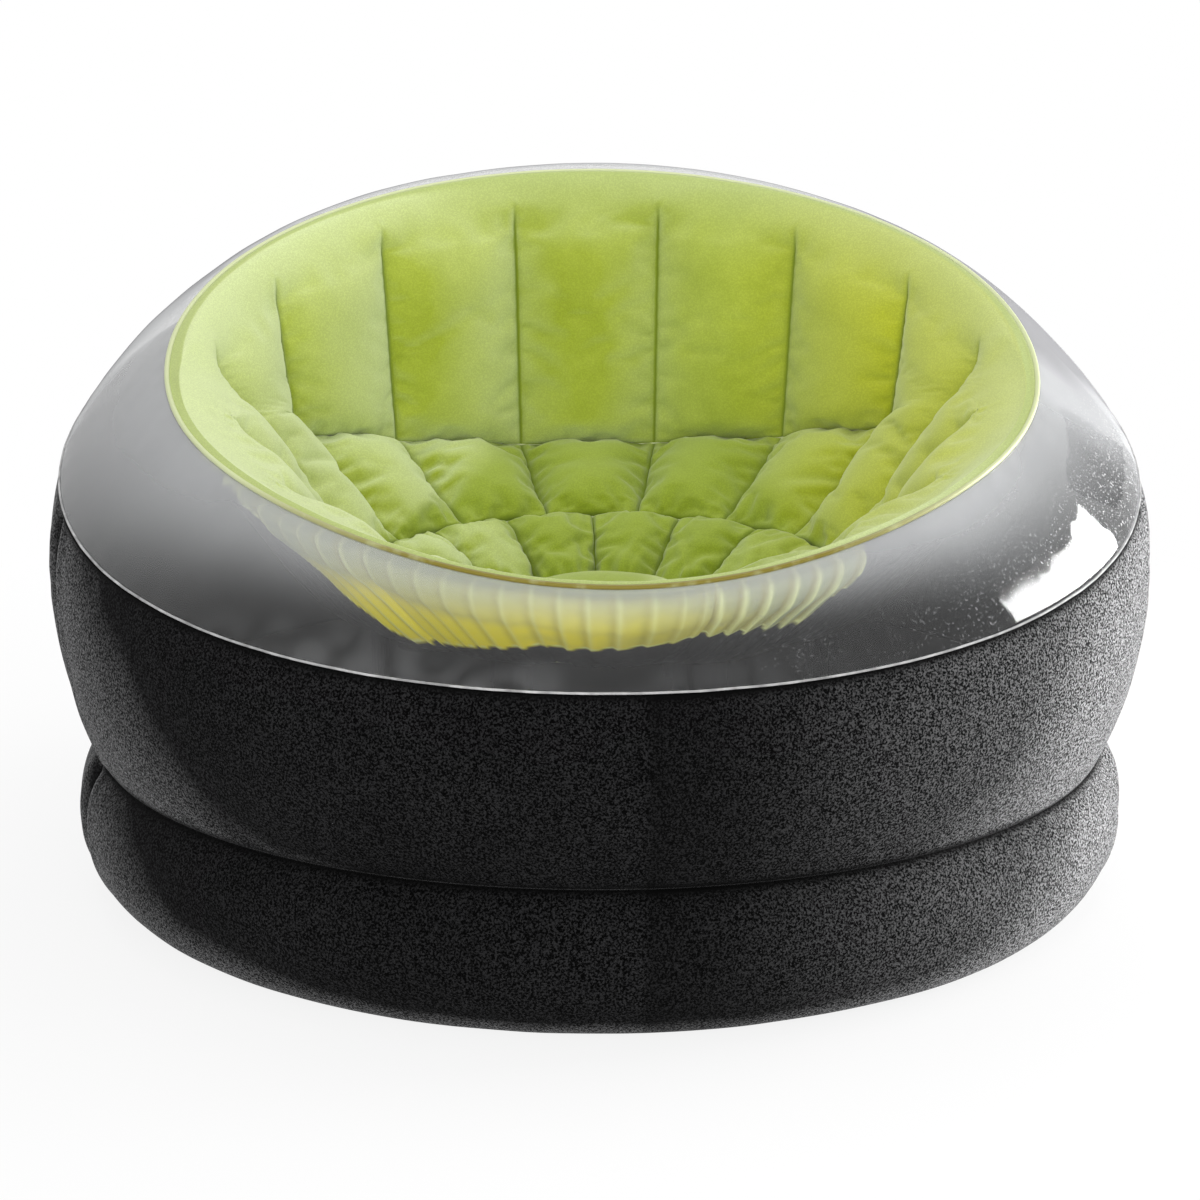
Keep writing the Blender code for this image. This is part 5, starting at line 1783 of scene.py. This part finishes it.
@dataclass
class AirValve:
    """Air valve low on the rear wall: flange with neck, turning collar, inner flap and strapped plug."""

    shop: Workshop
    rings: RingTree
    segments: int = 96
    rounding: float = 0.0004
    neck_bore: float = 0.0155
    neck_radius: float = 0.0185
    neck_top: float = 0.0040
    flange_radius: float = 0.032
    flange_bottom: float = -0.0046
    flange_top: float = -0.0034
    collar_radius: float = 0.0152
    collar_bore: float = 0.011
    collar_bottom: float = -0.005
    lip_radius: float = 0.0195
    lip_bottom: float = 0.0043
    lip_top: float = 0.0063
    notches: int = 8
    notch_radius: float = 0.0016
    ribs: int = 32
    flap_radius: float = 0.0128
    cap_radius: float = 0.014
    cap_bottom: float = 0.0066
    cap_top: float = 0.0088
    stem_radius: float = 0.0100
    strap_half: float = 0.0045
    strap_end: float = -0.0225

    @staticmethod
    def place() -> Matrix:
        """The valve's frame, its own +Z out of the rear wall."""
        return Matrix(((-1.0, 0.0, 0.0, 0.0), (0.0, 0.228261, 0.9736, 0.517146), (0.0, 0.9736, -0.228261, 0.215),
                       (0.0, 0.0, 0.0, 1.0)))

    def eased(self, outline: Sequence[tuple[float, float]], closed: bool) -> list[tuple[float, float]]:
        """Cuts the corners of an outline, except those on the axis and the ends of an open one."""
        made = []
        for index, (radius, height) in enumerate(outline):
            if radius == 0 or (not closed and index in (0, len(outline) - 1)):
                made.append((radius, height))
                continue
            for other in (outline[index - 1], outline[(index + 1) % len(outline)]):
                gap = math.hypot(other[0] - radius, other[1] - height)
                share = min(0.35, self.rounding / max(gap, 1e-9))
                made.append((lerp(radius, other[0], share), lerp(height, other[1], share)))
        return made

    def notched(self, radius: float, turn: float) -> float:
        """Radius at a turn of the collar's lip, which has a ring of notches."""
        arc = abs((turn * self.notches / (2 * math.pi)) % 1.0 - 0.5) * 2 * math.pi / self.notches * self.lip_radius
        if arc < self.notch_radius:
            return min(radius, self.lip_radius - math.sqrt(self.notch_radius ** 2 - arc ** 2))
        return radius

    def turned(self, name: str, outline: Sequence[tuple[float, float]], closed: bool = False) -> Mesh:
        """Solid of revolution in the valve's frame, with its corners eased.

        Args:
            name: the mesh's name.
            outline: pairs of radius and height, with the solid on the left of the path.
            closed: whether the outline is a loop, rather than from axis to axis.

        Returns:
            The mesh.
        """
        shape, rings, count = bmesh.new(), [], self.segments
        for radius, height in self.eased(outline, closed):
            rings.append([])
            for turn in np.linspace(0, 2 * np.pi, count, endpoint=False) if radius else [0.0]:
                reach = self.notched(radius, turn) if radius > self.lip_radius - 0.0008 and name == "lip" else radius
                spot = Vector((reach * math.cos(turn), reach * math.sin(turn), height))
                rings[-1].append(shape.verts.new(self.place() @ spot))
        for low, high in zip(rings, rings[1:] + rings[:1] if closed else rings[1:]):
            for here in range(count):
                there = (here + 1) % count
                loop = (low[here % len(low)], low[there % len(low)], high[there % len(high)], high[here % len(high)])
                if len(set(loop)) > 2:
                    shape.faces.new(list(dict.fromkeys(loop)))
        bmesh.ops.recalc_face_normals(shape, faces=shape.faces)
        return mesh_of(name, shape)

    def flange(self) -> list[Mesh]:
        """Parts of the flange with its neck."""
        bore, bottom, top = self.neck_bore, self.flange_bottom, self.flange_top
        return [self.turned("flange", [
            (bore, bottom), (self.flange_radius, bottom), (self.flange_radius, top), (self.neck_radius, top),
            (self.neck_radius, self.neck_top), (bore, self.neck_top)], True)]

    def collar(self) -> list[Mesh]:
        """Parts of the turning collar: its ring with notches in the lip, the strap's ear and the grip's ribs."""
        bore, radius, low, top = self.collar_bore, self.collar_radius, self.lip_bottom, self.lip_top
        ring = self.turned("lip", [
            (bore, self.collar_bottom), (radius, self.collar_bottom), (radius, low), (self.lip_radius, low),
            (self.lip_radius, top), (bore + 0.0009, top), (bore, top - 0.0009)], True)
        ear = box_part((-self.strap_half, -0.0208, low), (self.strap_half, -0.0170, top), 0.0004, self.place())
        rib = box_part((-0.0003, -0.0002, low + 0.0004), (0.0003, 0.0003, top - 0.0004), 0.0001, Matrix.Identity(4))
        ribs = self.rings.repeat("ribs", rib, self.shop.finishes[Slot.VALVE], self.ribs,
                                 (self.lip_radius, self.lip_radius), (0.0, 0.0, 0.0))
        ribs.transform(self.place())
        ribs.flip_normals()
        return [ring, ear, ribs]

    def flap(self) -> list[Mesh]:
        """Parts of the inner flap."""
        top, radius = self.collar_bottom - 0.0003, self.flap_radius
        return [self.turned("flap", [
            (0.0, top - 0.0012), (radius * 0.6, top - 0.0012), (radius, top - 0.0009), (radius, top), (0.0, top)])]

    def plug(self) -> list[Mesh]:
        """Parts of the plug: its stem and cap, and the strap with its turned-down end."""
        stem, cap, low, top = self.stem_radius, self.cap_radius, self.cap_bottom, self.cap_top
        half, end, place = self.strap_half, self.strap_end, self.place()
        return [
            self.turned("stem", [
                (0.0, low - 0.0060), (stem - 0.0016, low - 0.0060), (stem - 0.0008, low - 0.0050),
                (stem, low - 0.0004), (stem, low), (cap, low), (cap, top - 0.0004), (cap * 0.86, top),
                (cap * 0.80, top), (cap * 0.74, top - 0.0006), (cap * 0.45, top - 0.0006), (cap * 0.38, top),
                (0.0, top)]),
            box_part((-half, end, 0.0070), (half, -0.0105, 0.0084), 0.0003, place),
            box_part((-half, end, 0.0040), (half, end + 0.0014, 0.0078), 0.0003, place)]

    def build(self) -> None:
        """Builds the four pieces, each on its own body."""
        for name, parts, slot, body, node in (
                ("valve_neck", self.flange, Slot.VALVE, Body.CHAIR, "valve_flange"),
                ("valve_grip_collar", self.collar, Slot.VALVE, Body.COLLAR, "valve_collar"),
                ("valve_inner_flap", self.flap, Slot.MEMBRANE, Body.FLAP, "valve_flap"),
                ("valve_stopper", self.plug, Slot.VALVE, Body.PLUG, "valve_plug")):
            self.shop.place(joined(name, parts(), 35.0), slot, [node], body=body)


@dataclass
class Studio:
    """White floor and surround, soft lamps and the camera of the photograph."""

    fit_focal: float = 3479.4
    fit_side: float = 1200.0
    distance: float = 3.6
    elevation: float = 0.2662
    turn: float = math.radians(2.56)
    look_height: float = 0.2906
    floor_near: float = 0.86
    floor_reach: float = 14.0
    window_corners: tuple[Spot, ...] = (
        (2.48, -0.42, 1.50), (2.62, -0.40, 1.21), (2.71, 0.19, 0.89), (2.58, 0.83, 0.62), (2.42, 1.12, 0.86),
        (2.35, 1.07, 1.16), (2.40, 0.42, 1.235), (2.43, 0.10, 1.300))
    card_corners: tuple[Spot, ...] = ((1.56, 0.83, 0.70), (1.25, 1.26, 0.50), (1.34, 1.12, 0.78), (1.62, 0.60, 0.93))
    ambient: float = 0.42

    @staticmethod
    def white_rays(graph: Graph) -> Term:
        """1 for the rays that should meet a white surround."""
        camera, through, glossy = (graph.node("LightPath", {}, {}, "Is %s Ray" % kind)
                                   for kind in ("Camera", "Transmission", "Glossy"))
        return (camera + through + glossy).clamp()

    @staticmethod
    def flat(name: str, points: Sequence[Spot], faces: Sequence[tuple[int, ...]],
             look: Material) -> bpy.types.Object:
        """Adds a flat piece of the studio.

        Args:
            name: its name.
            points: its corners.
            faces: the corners' numbers in each face.
            look: its material.

        Returns:
            The object.
        """
        mesh = bpy.data.meshes.new(name)
        mesh.from_pydata(points, [], faces)
        mesh.materials.append(look)
        made = linked(name, mesh)
        return made

    def floor(self) -> None:
        """Pale floor that keeps the chair's shadow."""
        graph = Graph("floor_white")
        lit = graph.node("BsdfDiffuse", {}, {"Color": rgb(0.9, 0.9, 0.9)})
        plain = graph.node("Emission", {}, {"Color": WHITE, "Strength": 1.0})
        away = graph.node("VectorMath", {"operation": "LENGTH"}, {0: graph.place()}, "Value")
        share = self.white_rays(graph) * graph.span(away, 0.75, 1.5, self.floor_near, 1.0)
        look = graph.finish(graph.node("MixShader", {}, {0: share, 1: lit, 2: plain}))
        corners = [(east * self.floor_reach, north * self.floor_reach, -0.0004)
                   for east, north in ((-1, -1), (1, -1), (1, 1), (-1, 1))]
        self.flat("studio_floor", corners, [(0, 1, 2, 3)], look)

    def surround(self) -> None:
        """World that is white to look at and dimmer as a light."""
        graph = Graph("studio", world=True)
        share = self.white_rays(graph)
        dim, white = (graph.node("Background", {}, {"Color": WHITE, "Strength": strength})
                      for strength in (self.ambient, 1.0))
        bpy.context.scene.world = graph.finish(graph.node("MixShader", {}, {0: share, 1: dim, 2: white}))

    @staticmethod
    def stand(name: str, data: bpy.types.ID, place: Spot, aim: Spot) -> bpy.types.Object:
        """Puts a lamp or camera at a place and points it."""
        made = linked(name, data)
        made.location = place
        made.rotation_euler = (Vector(aim) - Vector(place)).to_track_quat("-Z", "Y").to_euler()
        return made

    def lamp(self, name: str, place: Spot, aim: Spot, size: tuple[float, float], radiance: float,
             mirrored: bool = False) -> None:
        """Adds one soft rectangular lamp.

        Args:
            name: the lamp's name.
            place: where it stands.
            aim: what it points at.
            size: its width and height.
            radiance: brightness of its face, where 1 is white.
            mirrored: whether glossy surfaces show it.
        """
        data = bpy.data.lights.new(name, "AREA")
        data.shape = "RECTANGLE"
        data.size, data.size_y = size
        data.energy = radiance * math.pi * size[0] * size[1]
        self.stand(name, data, place, aim).visible_glossy = mirrored

    def panel(self, name: str, corners: Sequence[Spot], strength: float) -> None:
        """Adds a flat panel that the camera doesn't see, as the clear sheet mirrors it.

        Args:
            name: its name.
            corners: its corners.
            strength: its brightness, 0 for a dark card.
        """
        graph = Graph(name)
        if strength:
            look = graph.node("Emission", {}, {"Color": WHITE, "Strength": strength})
        else:
            look = graph.node("BsdfDiffuse", {}, {"Color": rgb(0.01, 0.01, 0.01)})
        count = len(corners)
        points = [*corners, tuple(np.mean(corners, axis=0))]
        made = self.flat(name, points, [(index, (index + 1) % count, count) for index in range(count)],
                         graph.finish(look))
        made.visible_camera = made.visible_diffuse = made.visible_shadow = made.visible_transmission = False

    def camera(self) -> None:
        """Camera at the photograph's viewing angle."""
        data = bpy.data.cameras.new("photo_camera")
        data.sensor_width = 36.0
        data.lens = self.fit_focal / self.fit_side * data.sensor_width
        data.dof.use_dof = False
        data.clip_end = 100.0
        flat = self.distance * math.cos(self.elevation)
        target = Vector((0.0, 0.0, self.look_height))
        place = target + Vector((
            -flat * math.sin(self.turn), -flat * math.cos(self.turn), self.distance * math.sin(self.elevation)))
        bpy.context.scene.camera = self.stand("photo_camera", data, place, target)

    def build(self) -> None:
        """Builds the studio. The window and the card give the clear sheet its highlight at the right."""
        self.floor()
        self.surround()
        self.lamp("overhead", (0.0, 0.4, 3.0), (0.0, 0.0, 0.4), (3.2, 2.2), 1.8, True)
        self.lamp("front_fill", (-0.4, -4.4, 2.3), (0.0, 0.0, 0.4), (2.8, 2.0), 3.2)
        self.lamp("low_front", (0.1, -3.2, 0.62), (0.0, 0.0, 0.42), (2.4, 0.7), 6.0)
        self.panel("studio_window", self.window_corners, 28.0)
        self.panel("studio_card", self.card_corners, 0.0)
        self.lamp("right_fill", (2.3, 0.6, 0.52), (0.0, 0.0, 0.30), (1.6, 0.7), 20.0)
        self.lamp("right_high", (2.4, 0.3, 1.9), (-0.2, 0.0, 0.45), (1.4, 1.0), 2.2)
        self.camera()
        bpy.context.scene.view_settings.view_transform = "Standard"


class Palette:
    """Every finish of the chair, by the record's slots."""

    @staticmethod
    def build() -> dict[Slot, Material]:
        """Builds the finishes.

        Returns:
            Materials by slot.
        """
        makers = {
            Slot.CHARCOAL: FlockFinish(
                "charcoal_flock", rgb(0.0050, 0.0050, 0.0052), rgb(0.0085, 0.0085, 0.0088), rgb(0.002, 0.002, 0.002),
                rgb(0.0060, 0.0060, 0.0062), 0.93, 470.0, rgb(0.16, 0.16, 0.162), (0.50, 1.08), 1.0, 0.18, 0.50,
                rgb(0.01, 0.01, 0.01), 0.04, rgb(0.80, 0.80, 0.82), 0.35, 1.0),
            Slot.GREEN: FlockFinish(
                "green_flock", srgb(156, 170, 56), srgb(184, 197, 82), srgb(92, 112, 24), srgb(142, 160, 46), 0.05,
                620.0, srgb(202, 214, 156), (0.10, 0.84), 0.5, 0.0, 0.0, srgb(188, 190, 40), 0.40,
                rgb(0.96, 1.0, 0.84), 0.45, 0.2),
            Slot.BLACK: VinylFinish(
                "black_vinyl", rgb(0.008, 0.008, 0.008), rgb(0.012, 0.012, 0.012), 0.60, 26.0, 0.04, 0.1),
            Slot.GREY: VinylFinish(
                "grey_vinyl", rgb(0.012, 0.012, 0.012), rgb(0.018, 0.018, 0.018), 0.60, 26.0, 0.04, 0.1),
            Slot.PALE: LinerFinish(
                "pale_green_vinyl", srgb(234, 222, 6), srgb(136, 144, 104), srgb(134, 126, 26), srgb(214, 222, 154),
                rgb(0.012, 0.012, 0.012)),
            Slot.WHITE_WELD: VinylFinish("white_weld", rgb(0.20, 0.20, 0.20), rgb(0.55, 0.55, 0.55), 0.35, 60.0, 0.25),
            Slot.GREEN_WELD: WeldFinish("green_weld", srgb(120, 108, 20), srgb(200, 208, 158)),
            Slot.VALVE: VinylFinish(
                "valve_plastic", rgb(0.020, 0.020, 0.021), rgb(0.032, 0.032, 0.034), 0.40, 90.0, 0.2),
            Slot.MEMBRANE: VinylFinish(
                "valve_membrane", rgb(0.35, 0.36, 0.36), rgb(0.50, 0.51, 0.51), 0.30, 50.0, 0.1),
            Slot.CLEAR: ClearFinish(
                "clear_vinyl", rgb(0.66, 0.67, 0.68), rgb(0.22, 0.22, 0.23), 0.003, 0.010, 0.20, 0.25, 0.04, 0.62),
        }
        return {slot: maker.build() for slot, maker in makers.items()}


def main() -> None:
    """Builds the chair and its studio."""
    logging.basicConfig(level=logging.INFO, format="%(message)s")
    shop = Workshop(Palette.build())
    form = ChairForm()
    beads, rings = PathTree(), RingTree()
    DarkShell(shop, form).build(AirValve.place())
    ClearCrown(shop, form, beads).build()
    SeatBowl(shop, form, beads).build()
    InnerWork(shop, form, rings).build()
    AirValve(shop, rings).build()
    Studio().build()


if __name__ == "__main__":
    main()
